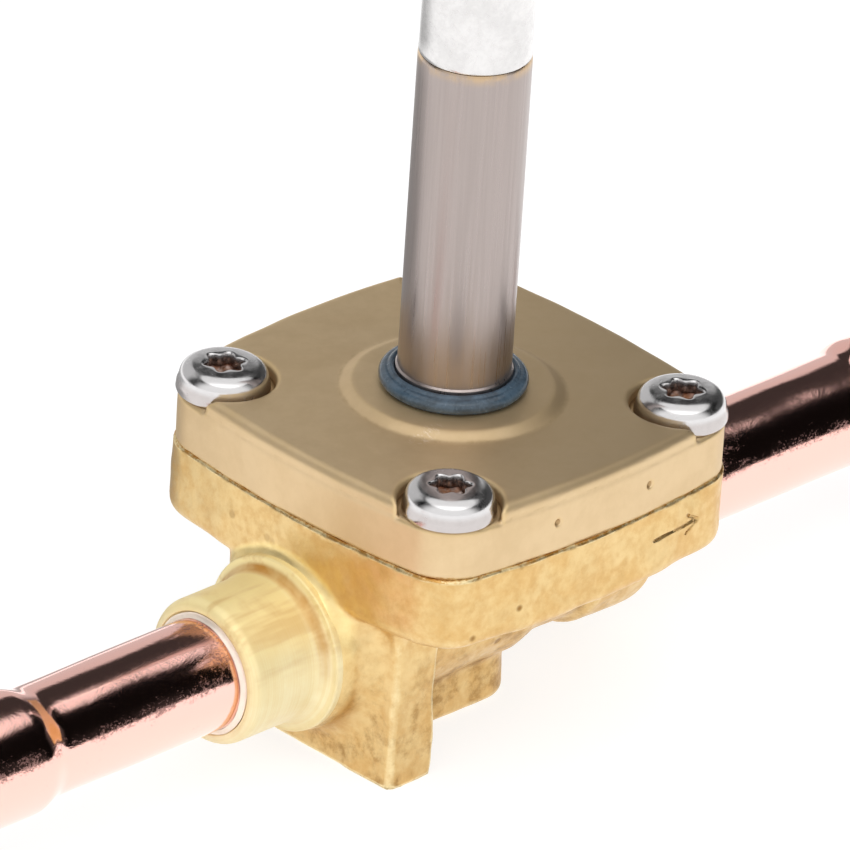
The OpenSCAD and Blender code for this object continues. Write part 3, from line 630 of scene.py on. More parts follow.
def put(tree, kind, inputs=None, **settings):
    """Adds a node. Input values are plain values or sockets to link."""
    node = tree.nodes.new(kind)
    for key, value in settings.items():
        setattr(node, key, value)
    for key, value in (inputs or {}).items():
        if isinstance(value, bpy.types.NodeSocket):
            tree.links.new(value, node.inputs[key])
        else:
            node.inputs[key].default_value = value
    return node


def object_place(tree):
    """Object coordinates of the shaded point."""
    return put(tree, "ShaderNodeTexCoord").outputs["Object"]


def mapped(tree, vector, scale=(1, 1, 1), location=(0, 0, 0)):
    """Coordinates stretched and moved by a Mapping node."""
    return put(tree, "ShaderNodeMapping", {"Vector": vector, "Scale": scale,
                                           "Location": location}).outputs["Vector"]


def noise(tree, vector, scale, detail=4.0, rough=0.55, distort=0.0):
    """Noise value at a scale in features per metre."""
    return put(tree, "ShaderNodeTexNoise", {"Vector": vector, "Scale": scale, "Detail": detail,
                                            "Roughness": rough, "Distortion": distort}
               ).outputs["Fac"]


def ranged(tree, value, low, high, to_low=0.0, to_high=1.0):
    """Value brought from one range to another with soft ends."""
    return put(tree, "ShaderNodeMapRange", {"Value": value, "From Min": low, "From Max": high,
                                            "To Min": to_low, "To Max": to_high},
               interpolation_type="SMOOTHSTEP").outputs["Result"]


def mixed(tree, factor, a, b):
    """Colour mix; a and b are colours or sockets."""
    node = put(tree, "ShaderNodeMix", data_type="RGBA")
    for name, value in ((0, factor), (6, a), (7, b)):
        if isinstance(value, bpy.types.NodeSocket):
            tree.links.new(value, node.inputs[name])
        else:
            node.inputs[name].default_value = (*value, 1) if name else value
    return node.outputs[2]


def maths(tree, operation, a, b=0.0, clamp=False):
    """Arithmetic on two values."""
    return put(tree, "ShaderNodeMath", {0: a, 1: b}, operation=operation,
               use_clamp=clamp).outputs[0]


def times(tree, a, b, clamp=False):
    """Product of two values."""
    return maths(tree, "MULTIPLY", a, b, clamp)


def plus(tree, a, b):
    """Sum of two values."""
    return maths(tree, "ADD", a, b)


def minus(tree, a, b):
    """Difference of two values."""
    return maths(tree, "SUBTRACT", a, b)


def larger(tree, a, b):
    """Larger of two values."""
    return maths(tree, "MAXIMUM", a, b)


def vector_maths(tree, operation, *vectors):
    """Arithmetic on one or two vectors; gives a value for lengths and products, else a vector."""
    node = put(tree, "ShaderNodeVectorMath", dict(enumerate(vectors)), operation=operation)
    return node.outputs["Value" if operation in ("LENGTH", "DISTANCE", "DOT_PRODUCT") else "Vector"]


def parts_of(tree, vector):
    """X, Y and Z of a vector."""
    return put(tree, "ShaderNodeSeparateXYZ", {"Vector": vector}).outputs


def bump(tree, height, strength, distance=0.0001):
    """Bump node; distance is in metres."""
    return put(tree, "ShaderNodeBump", {"Height": height, "Strength": strength,
                                        "Distance": distance}).outputs["Normal"]


def node_group(name, inputs, outputs, build):
    """Shader node group with named inputs (name, kind, default) and outputs, built once."""
    if name in bpy.data.node_groups:
        return bpy.data.node_groups[name]
    tree = bpy.data.node_groups.new(name, "ShaderNodeTree")
    for label, kind, default in inputs:
        socket = tree.interface.new_socket(name=label, in_out="INPUT", socket_type=kind)
        if default is not None:
            socket.default_value = default
    for label, kind in outputs:
        tree.interface.new_socket(name=label, in_out="OUTPUT", socket_type=kind)
    start = tree.nodes.new("NodeGroupInput")
    end = tree.nodes.new("NodeGroupOutput")
    for label, socket in build(tree, start.outputs).items():
        tree.links.new(socket, end.inputs[label])
    return tree


def use_group(tree, group, **inputs):
    """Places a node group with values for its inputs."""
    node = tree.nodes.new("ShaderNodeGroup")
    node.node_tree = group
    for key, value in inputs.items():
        if isinstance(value, bpy.types.NodeSocket):
            tree.links.new(value, node.inputs[key])
        else:
            node.inputs[key].default_value = value
    return node.outputs


def patches_group():
    """Soft patches on two scales, for forged and film finishes."""
    def build(tree, sockets):
        place = object_place(tree)
        wide = noise(tree, place, sockets["Scale"], 5, 0.6, 0.6)
        fine = noise(tree, place, times(tree, sockets["Scale"], 5.5), 4, 0.65)
        both = plus(tree, times(tree, wide, 0.68), times(tree, fine, 0.32))
        return {"Mask": ranged(tree, both, 0.36, 0.64), "Fine": fine}
    return node_group("patches", [("Scale", "NodeSocketFloat", 160.0)],
                      [("Mask", "NodeSocketFloat"), ("Fine", "NodeSocketFloat")], build)


def pits_group():
    """Sparse small pits: round cells of a Voronoi pattern, kept where a noise is high."""
    def build(tree, sockets):
        place = object_place(tree)
        cells = put(tree, "ShaderNodeTexVoronoi", {"Vector": place, "Scale": sockets["Scale"],
                                                   "Randomness": 1.0})
        near = ranged(tree, cells.outputs["Distance"], 0.1, 0.22, 1.0, 0.0)
        pick = put(tree, "ShaderNodeSeparateColor", {"Color": cells.outputs["Color"]})
        some = ranged(tree, pick.outputs["Red"], sockets["Rarity"], 1.0)
        return {"Mask": times(tree, near, some, clamp=True)}
    return node_group("pits", [("Scale", "NodeSocketFloat", 500.0),
                               ("Rarity", "NodeSocketFloat", 0.8)],
                      [("Mask", "NodeSocketFloat")], build)


def edge_group():
    """Painted highlight on sharp edges and painted shade in hollows, from how sharply the surface bends.
    """
    def build(tree, sockets):
        bend = put(tree, "ShaderNodeAttribute", attribute_name="bend").outputs["Fac"]
        uneven = noise(tree, object_place(tree), 420, 5, 0.7)
        bend = plus(tree, bend, times(tree, minus(tree, uneven, 0.5), 2.4))
        return {"Edge": ranged(tree, bend, 0.5, 1.9), "Hollow": ranged(tree, bend, -0.4, -2.0)}
    return node_group("edges", [], [("Edge", "NodeSocketFloat"), ("Hollow", "NodeSocketFloat")],
                      build)


def marks_group():
    """Fine machining marks: narrow noise bands along one direction of the given coordinates."""
    def build(tree, sockets):
        bands = noise(tree, sockets["Vector"], sockets["Scale"], 3, 0.7)
        return {"Height": bands, "Streak": ranged(tree, bands, 0.42, 0.62)}
    return node_group("marks", [("Vector", "NodeSocketVector", None),
                                ("Scale", "NodeSocketFloat", 1.0)],
                      [("Height", "NodeSocketFloat"), ("Streak", "NodeSocketFloat")], build)


def finish():
    """Finish colours of the current scene."""
    return bpy.context.scene.valve_finish


def forged_brass():
    """Satin forged brass with golden patches, darker patches that grow towards the bottom, painted shade
    in hollows, painted highlights on edges, a painted light ring round each collar, and a few pits.
    """
    material, tree, shader = new_material("forged_brass")
    f = finish()
    soft = use_group(tree, patches_group(), Scale=150.0)
    edge = use_group(tree, edge_group())
    pits = use_group(tree, pits_group(), Scale=330.0, Rarity=0.86)
    colour = mixed(tree, soft["Mask"], f.brass, f.brass_deep)
    place = object_place(tree)
    # Darker patches, more of them towards the bottom, joined below with painted shade in the hollows
    # from the bend attribute.
    film = ranged(tree, noise(tree, place, 260, 6, 0.7), 0.45, 0.68)
    height = parts_of(tree, place)["Z"]
    low = ranged(tree, height, 18 * MM, 8 * MM, 0.16, 1.0)
    film = times(tree, plus(tree, film, 0.35), times(tree, low, 0.95))
    low_and_hollow_dark = larger(tree, film, edge["Hollow"])
    colour = mixed(tree, times(tree, low_and_hollow_dark, 0.6), colour, f.brass_dirt)
    # Painted highlight along sharp edges, in the turned brass colour.
    colour = mixed(tree, times(tree, edge["Edge"], 0.5), colour, f.turned)
    colour = mixed(tree, pits["Mask"], colour, f.brass_dirt)
    top = CAD["part_z"] * MM
    rim = ranged(tree, height, top - 0.4 * MM, top - 0.15 * MM)
    rim = times(tree, rim, ranged(tree, noise(tree, place, 700, 4, 0.7), 0.42, 0.58))
    colour = mixed(tree, times(tree, rim, 0.85), colour, f.stain)
    # Painted light round each collar.
    colour = mixed(tree, painted_light_ring(tree, place), colour, f.golden)
    tree.links.new(colour, shader.inputs["Base Color"])
    shader.inputs["Metallic"].default_value = 1.0
    tree.links.new(ranged(tree, soft["Fine"], 0.3, 0.7, 0.34, 0.5), shader.inputs["Roughness"])
    grain = noise(tree, place, 2600, 3, 0.6)
    relief = plus(tree, times(tree, soft["Fine"], 0.6), times(tree, grain, 0.25))
    relief = minus(tree, relief, pits["Mask"])
    tree.links.new(bump(tree, relief, 0.55, 0.00012), shader.inputs["Normal"])
    return material


def painted_light_ring(tree, place):
    """Mask of a painted light ring on the body round each collar, stronger above the pipe axis."""
    s = shape()
    axis = CAD["axis_z"] * MM
    parts = parts_of(tree, place)
    flat = put(tree, "ShaderNodeCombineXYZ", {"Y": parts["Y"], "Z": parts["Z"]}).outputs[0]
    away = vector_maths(tree, "DISTANCE", flat, (0, 0, axis))
    away = plus(tree, away, times(tree, noise(tree, place, 300, 3), 0.8 * MM))
    ring = ranged(tree, away, (s.collar_r + 1.9) * MM, (s.collar_r + 1.3) * MM)
    ring = times(tree, ring, ranged(tree, parts["Z"], axis, axis + 6 * MM, 0.15, 0.6))
    along = maths(tree, "ABSOLUTE", parts["X"])
    end = s.barrel_half * MM
    return times(tree, ring, ranged(tree, along, end - 2 * MM, end))


def turned_brass():
    """Bright machined brass with a painted golden reflection above, fine marks round the pipe axis,
    painted dark reflection in streaks along it and in the hollow flare, and a few brown stain patches."""
    material, tree, shader = new_material("turned_brass_sleeve")
    f = finish()
    place = object_place(tree)
    marks = use_group(tree, marks_group(), Vector=mapped(tree, place, (9000, 60, 60)), Scale=1.0)
    soft = use_group(tree, patches_group(), Scale=120.0)
    colour = mixed(tree, times(tree, marks["Streak"], 0.3), f.turned, f.turned_deep)
    colour = mixed(tree, times(tree, soft["Mask"], 0.3), colour, f.turned_deep)
    parts = parts_of(tree, place)
    along, height = maths(tree, "ABSOLUTE", parts["X"]), parts["Z"]
    root, axis = (shape().barrel_half + shape().collar_len) * MM, CAD["axis_z"] * MM
    # Painted dark reflection in the hollow flare, stronger above the axis; a few brown stain patches at
    # random are added to it below.
    hollow = times(tree, ranged(tree, along, root, root + 0.35 * MM),
                   ranged(tree, along, root + 1.7 * MM, root + 0.7 * MM))
    hollow = times(tree, hollow, ranged(tree, height, axis - 3 * MM, axis + 5 * MM))
    uneven = noise(tree, place, 110, 4, 0.6, 0.5)
    stain = times(tree, hollow, ranged(tree, uneven, 0.35, 0.6, 0.5, 1.0))
    stain = larger(tree, stain, ranged(tree, uneven, 0.6, 0.74, 0.0, 0.22))
    # Painted golden reflection on the sleeves' upper side.
    upper = ranged(tree, height, axis + 1 * MM, axis + 8 * MM, 0.0, 0.8)
    # Painted dark reflection in streaks along the sleeve, stronger above the axis.
    reflection_streak = ranged(tree, noise(tree, mapped(tree, place, (0.14, 1, 1)), 340, 3, 0.6), 0.46, 0.64)
    reflection_streak = times(tree, reflection_streak, ranged(tree, height, axis, axis + 5 * MM, 0.06, 0.36))
    colour = mixed(tree, upper, colour, f.golden)
    colour = mixed(tree, reflection_streak, colour, f.stain)
    colour = mixed(tree, stain, colour, f.stain)
    tree.links.new(colour, shader.inputs["Base Color"])
    shader.inputs["Metallic"].default_value = 0.22
    tree.links.new(ranged(tree, marks["Height"], 0.3, 0.7, 0.36, 0.48), shader.inputs["Roughness"])
    tree.links.new(bump(tree, marks["Height"], 0.25, 0.00002), shader.inputs["Normal"])
    return material


def olive_brass():
    """Matte tumbled brass of the cover, with a fine grain, painted highlights on its edges, painted
    shade in its hollows, a scuff on one side, and painted shade on top that deepens towards the outlet."""
    material, tree, shader = new_material("olive_brass")
    f = finish()
    soft = use_group(tree, patches_group(), Scale=90.0)
    edge = use_group(tree, edge_group())
    colour = mixed(tree, soft["Mask"], f.cover, f.cover_deep)
    # Painted highlight on sharp edges and painted shade in hollows.
    colour = mixed(tree, times(tree, edge["Edge"], 0.35), colour, f.brass)
    colour = mixed(tree, times(tree, edge["Hollow"], 0.6), colour, f.brass_dirt)
    place = object_place(tree)
    parts = parts_of(tree, place)
    # Painted shade on the top, deepening towards the outlet side.
    film = ranged(tree, minus(tree, parts["X"], parts["Y"]), -12 * MM, 36 * MM)
    top = (CAD["boss_z"] - 1) * MM
    film = times(tree, times(tree, film, ranged(tree, parts["Z"], top - 0.7 * MM, top)), 0.75)
    colour = mixed(tree, film, colour, [c * 0.62 for c in f.cover_deep])
    away = vector_maths(tree, "LENGTH", mapped(tree, place, (1, 2.2, 1), SCUFF_PLACE))
    rubbed = ranged(tree, noise(tree, mapped(tree, place, (2, 1, 1)), 900, 6, 0.8), 0.5, 0.6)
    rubbed = times(tree, rubbed, ranged(tree, away, 3 * MM, 1.2 * MM, 0.0, 0.5))
    colour = mixed(tree, rubbed, colour, f.braze)
    tree.links.new(colour, shader.inputs["Base Color"])
    shader.inputs["Metallic"].default_value = 0.85
    shader.inputs["Roughness"].default_value = 0.5
    grain = noise(tree, place, 3200, 3, 0.6)
    relief = plus(tree, times(tree, soft["Fine"], 0.4), times(tree, grain, 0.2))
    tree.links.new(bump(tree, relief, 0.3, 0.00006), shader.inputs["Normal"])
    return material


def copper():
    """Bright drawn copper that mirrors its surroundings, with fine rough flecks that catch light
    in its dark reflections: thick along the lower edge of those and near the sleeve."""
    material, tree, shader = new_material("copper_stub")
    f = finish()
    place = object_place(tree)
    parts = parts_of(tree, place)
    rise = minus(tree, parts["Z"], CAD["axis_z"] * MM)
    turn = maths(tree, "ARCTAN2", rise, times(tree, parts["Y"], -1.0))
    shaded = ranged(tree, turn, 0.2, 0.3)
    fine = noise(tree, mapped(tree, place, (0.7, 1, 1)), 4200, 5, 0.75, 0.3)
    patches = noise(tree, mapped(tree, place, (0.5, 1, 1)), 420, 5, 0.65, 0.8)
    root = ranged(tree, maths(tree, "ABSOLUTE", parts["X"]), 44 * MM, 39 * MM)
    near = times(tree, larger(tree, ranged(tree, turn, 0.85, 0.35), root), shaded)
    cut = minus(tree, 0.66, times(tree, near, 0.11))
    mask = plus(tree, times(tree, fine, 0.6), times(tree, patches, 0.5))
    mask = times(tree, minus(tree, mask, cut), 9.0, clamp=True)
    colour = mixed(tree, mask, f.copper, f.copper_film)
    tree.links.new(colour, shader.inputs["Base Color"])
    shader.inputs["Metallic"].default_value = 1.0
    tree.links.new(ranged(tree, mask, 0.0, 1.0, 0.09, 0.42), shader.inputs["Roughness"])
    relief = plus(tree, patches, times(tree, fine, 0.12))
    tree.links.new(bump(tree, relief, 0.2), shader.inputs["Normal"])
    return material


def plain_metal(name, colour, rough, grain=900.0, strength=0.2, metallic=1.0):
    """Plain metal with a soft patchiness and a fine grain."""
    material, tree, shader = new_material(name)
    soft = use_group(tree, patches_group(), Scale=220.0)
    dark = [c * 0.78 for c in colour]
    blend = mixed(tree, times(tree, soft["Mask"], 0.5), colour, dark)
    tree.links.new(blend, shader.inputs["Base Color"])
    shader.inputs["Metallic"].default_value = metallic
    tree.links.new(ranged(tree, soft["Fine"], 0.3, 0.7, rough * 0.85, rough * 1.2),
                   shader.inputs["Roughness"])
    height = noise(tree, object_place(tree), grain, 4, 0.6)
    tree.links.new(bump(tree, height, strength, 0.00005), shader.inputs["Normal"])
    return material


def stainless_screw():
    """Polished stainless with a painted brown reflection of the cover on the heads' sides and a brown
    stain down in the recess."""
    material, tree, shader = new_material("stainless_screw")
    f = finish()
    place = object_place(tree)
    height = parts_of(tree, place)["Z"]
    top = CAD["screw_top_z"] * MM
    deep = ranged(tree, height, top - 0.7 * MM, top - 1.6 * MM)
    uneven = noise(tree, place, 900, 5, 0.7)
    stain = times(tree, deep, ranged(tree, uneven, 0.3, 0.6, 0.6, 1.0))
    shank = ranged(tree, height, top - 3.6 * MM, top - 3.5 * MM, 1.0, 0.0)
    stain = times(tree, stain, minus(tree, 1.0, shank))
    # Painted brown reflection of the cover on the lower part of the heads' sides.
    side = ranged(tree, height, top - 1.5 * MM, top - 2.2 * MM, 0.0, 0.25)
    colour = mixed(tree, side, f.screw, f.screw_rust)
    colour = mixed(tree, stained_recess(tree, place, stain), colour, f.screw_rust)
    tree.links.new(colour, shader.inputs["Base Color"])
    shader.inputs["Metallic"].default_value = 1.0
    tree.links.new(ranged(tree, uneven, 0.3, 0.7, 0.14, 0.28), shader.inputs["Roughness"])
    relief = noise(tree, place, 500, 3, 0.5)
    tree.links.new(bump(tree, relief, 0.12, 0.00006), shader.inputs["Normal"])
    return material


def stained_recess(tree, place, stain):
    """Keeps the stain within the recess radius round each of the four screw axes."""
    inset = (CAD["screw_reach"] - shape().head_r) * MM
    folded = vector_maths(tree, "ABSOLUTE", place)
    aside = vector_maths(tree, "SUBTRACT", folded, (inset, inset, 0))
    away = vector_maths(tree, "LENGTH", vector_maths(tree, "MULTIPLY", aside, (1, 1, 0)))
    reach = shape().lobe_r * MM
    return times(tree, stain, ranged(tree, away, reach * 1.02, reach * 1.08, 1.0, 0.0))


def tube_steel():
    """Satin drawn steel with marks along the tube, a heat tint under the weld and fine
    scratches."""
    material, tree, shader = new_material("tube_steel")
    f = finish()
    place = object_place(tree)
    height = parts_of(tree, place)["Z"]
    marks = use_group(tree, marks_group(), Vector=mapped(tree, place, (2500, 2500, 40)), Scale=1.0)
    weld = CAD["weld_z"] * MM
    tint = ranged(tree, height, weld - 1.6 * MM, weld)
    uneven = noise(tree, place, 300, 4, 0.6)
    tint = times(tree, tint, ranged(tree, uneven, 0.35, 0.6))
    colour = mixed(tree, times(tree, marks["Streak"], 0.07), f.tube,
                   [c * 0.7 for c in f.tube])
    colour = mixed(tree, times(tree, tint, 0.55), colour, f.brass_deep)
    tree.links.new(colour, shader.inputs["Base Color"])
    shader.inputs["Metallic"].default_value = 1.0
    tree.links.new(ranged(tree, marks["Height"], 0.3, 0.7, 0.26, 0.38), shader.inputs["Roughness"])
    tree.links.new(bump(tree, marks["Height"], 0.05, 0.00002), shader.inputs["Normal"])
    return material


def rubber():
    """Glossy dark blue-grey rubber with a faint bloom."""
    material, tree, shader = new_material("ring_rubber")
    f = finish()
    soft = use_group(tree, patches_group(), Scale=420.0)
    colour = mixed(tree, times(tree, soft["Mask"], 0.5), f.rubber,
                   [c * 3.2 for c in f.rubber])
    tree.links.new(colour, shader.inputs["Base Color"])
    shader.inputs["Metallic"].default_value = 0.0
    tree.links.new(ranged(tree, soft["Fine"], 0.3, 0.7, 0.12, 0.28), shader.inputs["Roughness"])
    tree.links.new(bump(tree, soft["Fine"], 0.25, 0.00008), shader.inputs["Normal"])
    return material


def dull_solid(name, colour, rough=0.55):
    """Resin, paper or film: plain colour with a fine mottle."""
    material, tree, shader = new_material(name)
    soft = use_group(tree, patches_group(), Scale=400.0)
    tree.links.new(mixed(tree, times(tree, soft["Mask"], 0.4), colour,
                         [c * 0.82 for c in colour]), shader.inputs["Base Color"])
    shader.inputs["Metallic"].default_value = 0.0
    shader.inputs["Roughness"].default_value = rough
    tree.links.new(bump(tree, soft["Fine"], 0.2, 0.00005), shader.inputs["Normal"])
    return material


# Operators, one for each piece or group of like pieces


class VALVE_OT_body(bpy.types.Operator):
    """Forged body with its flow arrow."""
    bl_idname = "valve.body"
    bl_label = "Forged body"

    def execute(self, context):
        s = shape()
        half = CAD["body_w"] / 2
        points, faces = surface_net(body_field, (-half, -half, 0), (half, half, CAD["part_z"]), s.grid)
        body = make_object("forged_body", points, faces, merge=0.04)
        mid_z = CAD["part_z"] - s.flange_t + ARROW_RISE

        def near_arrow(x, y, z):
            along = (x > ARROW["tail"] - 0.6) & (x < ARROW["tip"] + 1)
            return along & (y < -half + 3) & (np.abs(z - mid_z) < 2.2)

        refine(body, near_arrow, body_field, 3, s.grid / 4)
        mark_bend(body, body_field, arrow_groove)
        dress(body, "valve", "forged_brass", forged_brass(), "valve_body")
        return {"FINISHED"}


class VALVE_OT_sleeves(bpy.types.Operator):
    """Turned sleeves at both ends, with their collars and mouths."""
    bl_idname = "valve.sleeves"
    bl_label = "Turned sleeves"

    def execute(self, context):
        s = shape()
        material = turned_brass()
        for name, sign, reach, collar in (("inlet_sleeve", -1, CAD["inlet_reach"], s.collar_r),
                                          ("outlet_sleeve", 1, CAD["outlet_reach"],
                                           s.outlet_collar_r)):
            outline = sleeve_outline(s, reach, collar)
            points, faces = lathe(stretch(outline, 0.6), 144, "x")
            points = points * (sign, 1, 1) + (0, 0, CAD["axis_z"])
            obj = make_object(name, points, faces, 50)
            dress(obj, "valve", "turned_brass", material, "valve_body")
        return {"FINISHED"}


def sleeve_outline(s, reach, collar_r):
    """Closed profile of one sleeve as (radius, distance from the middle): collar, hollow flare,
    plain length, round rim, funnel and socket."""
    root = s.barrel_half + s.collar_len
    rim, bore, mouth = 1.3, s.stub_r + 0.06, 7.15
    flare_len, edge, socket_depth, port_r = 2.2, 0.25, 8.5, 5.6
    t = np.radians(np.linspace(0, 90, 11))
    flare = np.stack([s.sleeve_r + (collar_r - edge - s.sleeve_r) * (1 - np.sin(t)),
                      root + flare_len * (1 - np.cos(t))], axis=1)
    collar = arc(collar_r - edge, root - edge, edge, 0, 90, 4)
    tip = arc(s.sleeve_r - rim, reach - rim, rim, 0, 78, 8)
    rows = [[(collar_r - 0.6, root - 1.2), (collar_r, root - 0.9)], collar, flare[1:], tip,
            [(mouth + 0.12, reach), (mouth, reach - 0.12), (bore, reach - 1.4)],
            [(bore, reach - socket_depth), (port_r, reach - socket_depth), (port_r, root - 1.2)]]
    return np.concatenate([np.asarray(r, float) for r in rows])


class VALVE_OT_cover(bpy.types.Operator):
    """Cover with its raised middle, screw seats and dimples."""
    bl_idname = "valve.cover"
    bl_label = "Cover"

    def execute(self, context):
        s = shape()
        half = CAD["cover_w"] / 2
        points, faces = surface_net(cover_field, (-half, -half, CAD["part_z"]),
                                    (half, half, CAD["boss_z"]), s.cover_grid)
        cover = make_object("forged_cover", points, faces, merge=0.03)
        mid_z = CAD["part_z"] + DIMPLE_RISE

        def near_dimples(x, y, z):
            aside = np.maximum(np.abs(np.abs(x) - DIMPLE_X), np.abs(z - mid_z))
            return (y < -half + 1.6) & (aside < 1.0)

        refine(cover, near_dimples, cover_field, 2, s.cover_grid / 3)
        mark_bend(cover, cover_field)
        dress(cover, "valve", "olive_brass", olive_brass(), "cover")
        return {"FINISHED"}


class VALVE_OT_screws(bpy.types.Operator):
    """Four pan head screws with six-lobe recesses."""
    bl_idname = "valve.screws"
    bl_label = "Cover screws"

    def execute(self, context):
        s = shape()
        inset = CAD["screw_reach"] - s.head_r
        material = stainless_screw()
        points, faces = [], []
        count = 0
        for x, y, turn in ((-1, -1, 20), (1, -1, 5), (1, 1, 48), (-1, 1, 33)):
            p, f = screw_surface(s, math.radians(turn))
            points.append(p + (x * inset, y * inset, 0))
            faces.append(f + count)
            count += len(p)
        obj = make_object("pan_head_screws", np.concatenate(points), np.concatenate(faces), 40)
        dress(obj, "valve", "stainless_screw", material, "cover_screws")
        return {"FINISHED"}


def screw_surface(s, turn, count=120):
    """One screw: a profile carried round its axis. Each row has a radius, a height and a share:
    with a share of 0 it is a circle, and with 1 it follows the recess's six-lobe outline, whose
    radius swells six times round."""
    low, top = CAD["screw_low_z"], CAD["screw_top_z"]
    head_h, shank_r, chamfer, pole_r, valley, sharpness = 3.45, 2.5, 0.5, 0.02, 0.735, 1.15
    seat, side, floor = top - head_h, s.head_side, top - s.lobe_depth
    t = np.radians(np.linspace(0, 88, 12))
    lip = s.lobe_r + 0.5
    crown = np.stack([lip + (s.head_r - 0.3 - lip) * np.cos(t) ** 0.85,
                      seat + side + (head_h - side - 0.06) * np.sin(t)], axis=1)
    rows = [(pole_r, low, 0), (shank_r - chamfer, low, 0), (shank_r, low + chamfer, 0),
            (shank_r, seat - 0.01, 0), (s.head_r - 0.35, seat, 0), (s.head_r - 0.08, seat + 0.1, 0),
            (s.head_r, seat + 0.35, 0), (s.head_r - 0.06, seat + side * 0.6, 0)]
    rows += [(r, z, 0) for r, z in crown]
    rows += [(s.lobe_r + 0.3, top - 0.02, 0.35), (s.lobe_r + 0.12, top - 0.01, 0.9),
             (s.lobe_r + 0.03, top - 0.06, 1), (s.lobe_r - 0.05, top - 0.22, 1),
             (s.lobe_r - 0.1, top - s.lobe_depth * 0.55, 1), (s.lobe_r - 0.16, floor, 1),
             (s.lobe_r * 0.45, floor - 0.15, 0.6), (pole_r, floor - 0.5, 0)]
    rows = np.array(rows)
    angle = np.linspace(0, 2 * np.pi, count, endpoint=False)[:, None]
    lobes = valley + (1 - valley) * ((1 + np.cos(6 * angle)) / 2) ** sharpness
    radius = rows[None, :, 0] * (1 - rows[None, :, 2] * (1 - lobes))
    a = angle + turn
    points = np.stack([radius * np.cos(a), radius * np.sin(a), rows[None, :, 1] + 0 * a], axis=-1)
    return points.reshape(-1, 3), wrapped_quads(count, len(rows))


class VALVE_OT_copper(bpy.types.Operator):
    """Copper stubs with their swaged sockets, and the braze at the sleeves' mouths."""
    bl_idname = "valve.copper"
    bl_label = "Copper stubs"

    def execute(self, context):
        s = shape()
        material = copper()
        braze = plain_metal("braze_ring", finish().braze, 0.4, metallic=0.5)
        for name, sign, reach in (("inlet", -1, CAD["inlet_reach"]), ("outlet", 1, CAD["outlet_reach"])):
            seed = SEED + 10 + sign

            def wobble(angle, along, seed=seed):
                return 0.028 * waves(8 * np.cos(angle), 8 * np.sin(angle), along * 0.45, 7, seed)

            points, faces = lathe(stretch(stub_outline(s, reach), 0.8), 112, "x", wobble)
            points = points * (sign, 1, 1) + (0, 0, CAD["axis_z"])
            obj = make_object(name + "_copper_stub", points, faces, 40)
            dress(obj, "valve", "copper", material, name + "_tube")
            points, faces = lathe(braze_outline(s, reach), 112, "x",
                                  lambda a, h: 0.03 * np.sin(5 * a) + 0.02 * np.sin(11 * a))
            points = points * (sign, 1, 1) + (0, 0, CAD["axis_z"])
            obj = make_object(name + "_braze_ring", points, faces)
            dress(obj, "valve", "braze", braze, name + "_braze")
        return {"FINISHED"}


def stub_outline(s, reach):
    """Closed profile of one stub: plain tube, cone, solder socket with a rounded end, and back
    along its bore."""
    end, neck = CAD["stub_reach"], CAD["stub_reach"] - s.swage_depth
    cone = neck - s.swage_cone
    wide, bore = CAD["swage_r"], CAD["swage_r"] - s.stub_wall
    inner = s.stub_r - s.stub_wall
    start = reach - 8.4
    t = np.linspace(0, 1, 9)[1:]
    bell = np.stack([s.stub_r + (wide - s.stub_r) * smooth_step(t), cone + (neck - cone) * t], axis=1)
    back = np.stack([bore - (bore - inner) * smooth_step(t), neck - (neck - cone) * t], axis=1)
    rows = [[(s.stub_r, start), (s.stub_r, cone)], bell, arc(wide - 0.3, end - 0.3, 0.3, 0, 90, 4),
            [(bore, end), (bore, neck)], back, [(inner, start)]]
    return np.concatenate([np.asarray(r, float) for r in rows])


def braze_outline(s, reach):
    """Closed profile of the braze ring: a wedge that fills the funnel, with a hollow face that
    climbs a little along the copper."""
    inner, outer, climb = s.stub_r + 0.03, 7.09, 0.45
    t = np.linspace(0, 1, 9)
    face = np.stack([outer - (outer - inner) * t, reach - 0.06 + climb * t ** 2], axis=1)
    back = np.array([(inner, reach - 1.3), (inner + 0.03, reach - 1.33)])
    return np.concatenate([face, back])


class VALVE_OT_tube(bpy.types.Operator):
    """Armature tube, its core above the weld, and the rubber ring round its foot."""
    bl_idname = "valve.tube"
    bl_label = "Armature tube and ring"

    def execute(self, context):
        s = shape()
        f = finish()
        r, weld = CAD["tube_r"], CAD["weld_z"]
        bore, base = r - s.tube_wall, CAD["flange_low_z"]
        foot, foot_z, flange_r = r + 0.2, CAD["ring_top_z"] + 0.2, 8.6
        outline = np.array([(bore, base), (flange_r, base), (flange_r, base + 0.9),
                            (flange_r - 0.1, base + 1), (foot, base + 1), (foot, foot_z),
                            (r, foot_z + 0.2), (r, weld - 0.5), (r - 0.02, weld - 0.25),
                            (r - 0.12, weld - 0.05), (bore + 0.1, weld - 0.05), (bore, weld - 0.1)])
        points, faces = lathe(stretch(outline, 2.5), 144)
        tube = make_object("drawn_tube", points, faces, 40)
        dress(tube, "valve", "tube_steel", tube_steel(), "armature_tube")
        points, faces = lathe(ring_outline(s), 144, "z",
                              lambda a, h: 0.02 * np.sin(3 * a + 1) + 0.015 * np.sin(7 * a))
        ring = make_object("rubber_ring", points, faces)
        dress(ring, "valve", "ring_rubber", rubber(), "coil_o_ring")
        points, faces = lathe(stretch(core_outline(s), 2.0), 144)
        cap = make_object("bright_core", points, faces, 40)
        dress(cap, "valve", "core_steel", plain_metal("core_steel", f.core, 0.24), "fixed_core")
        return {"FINISHED"}


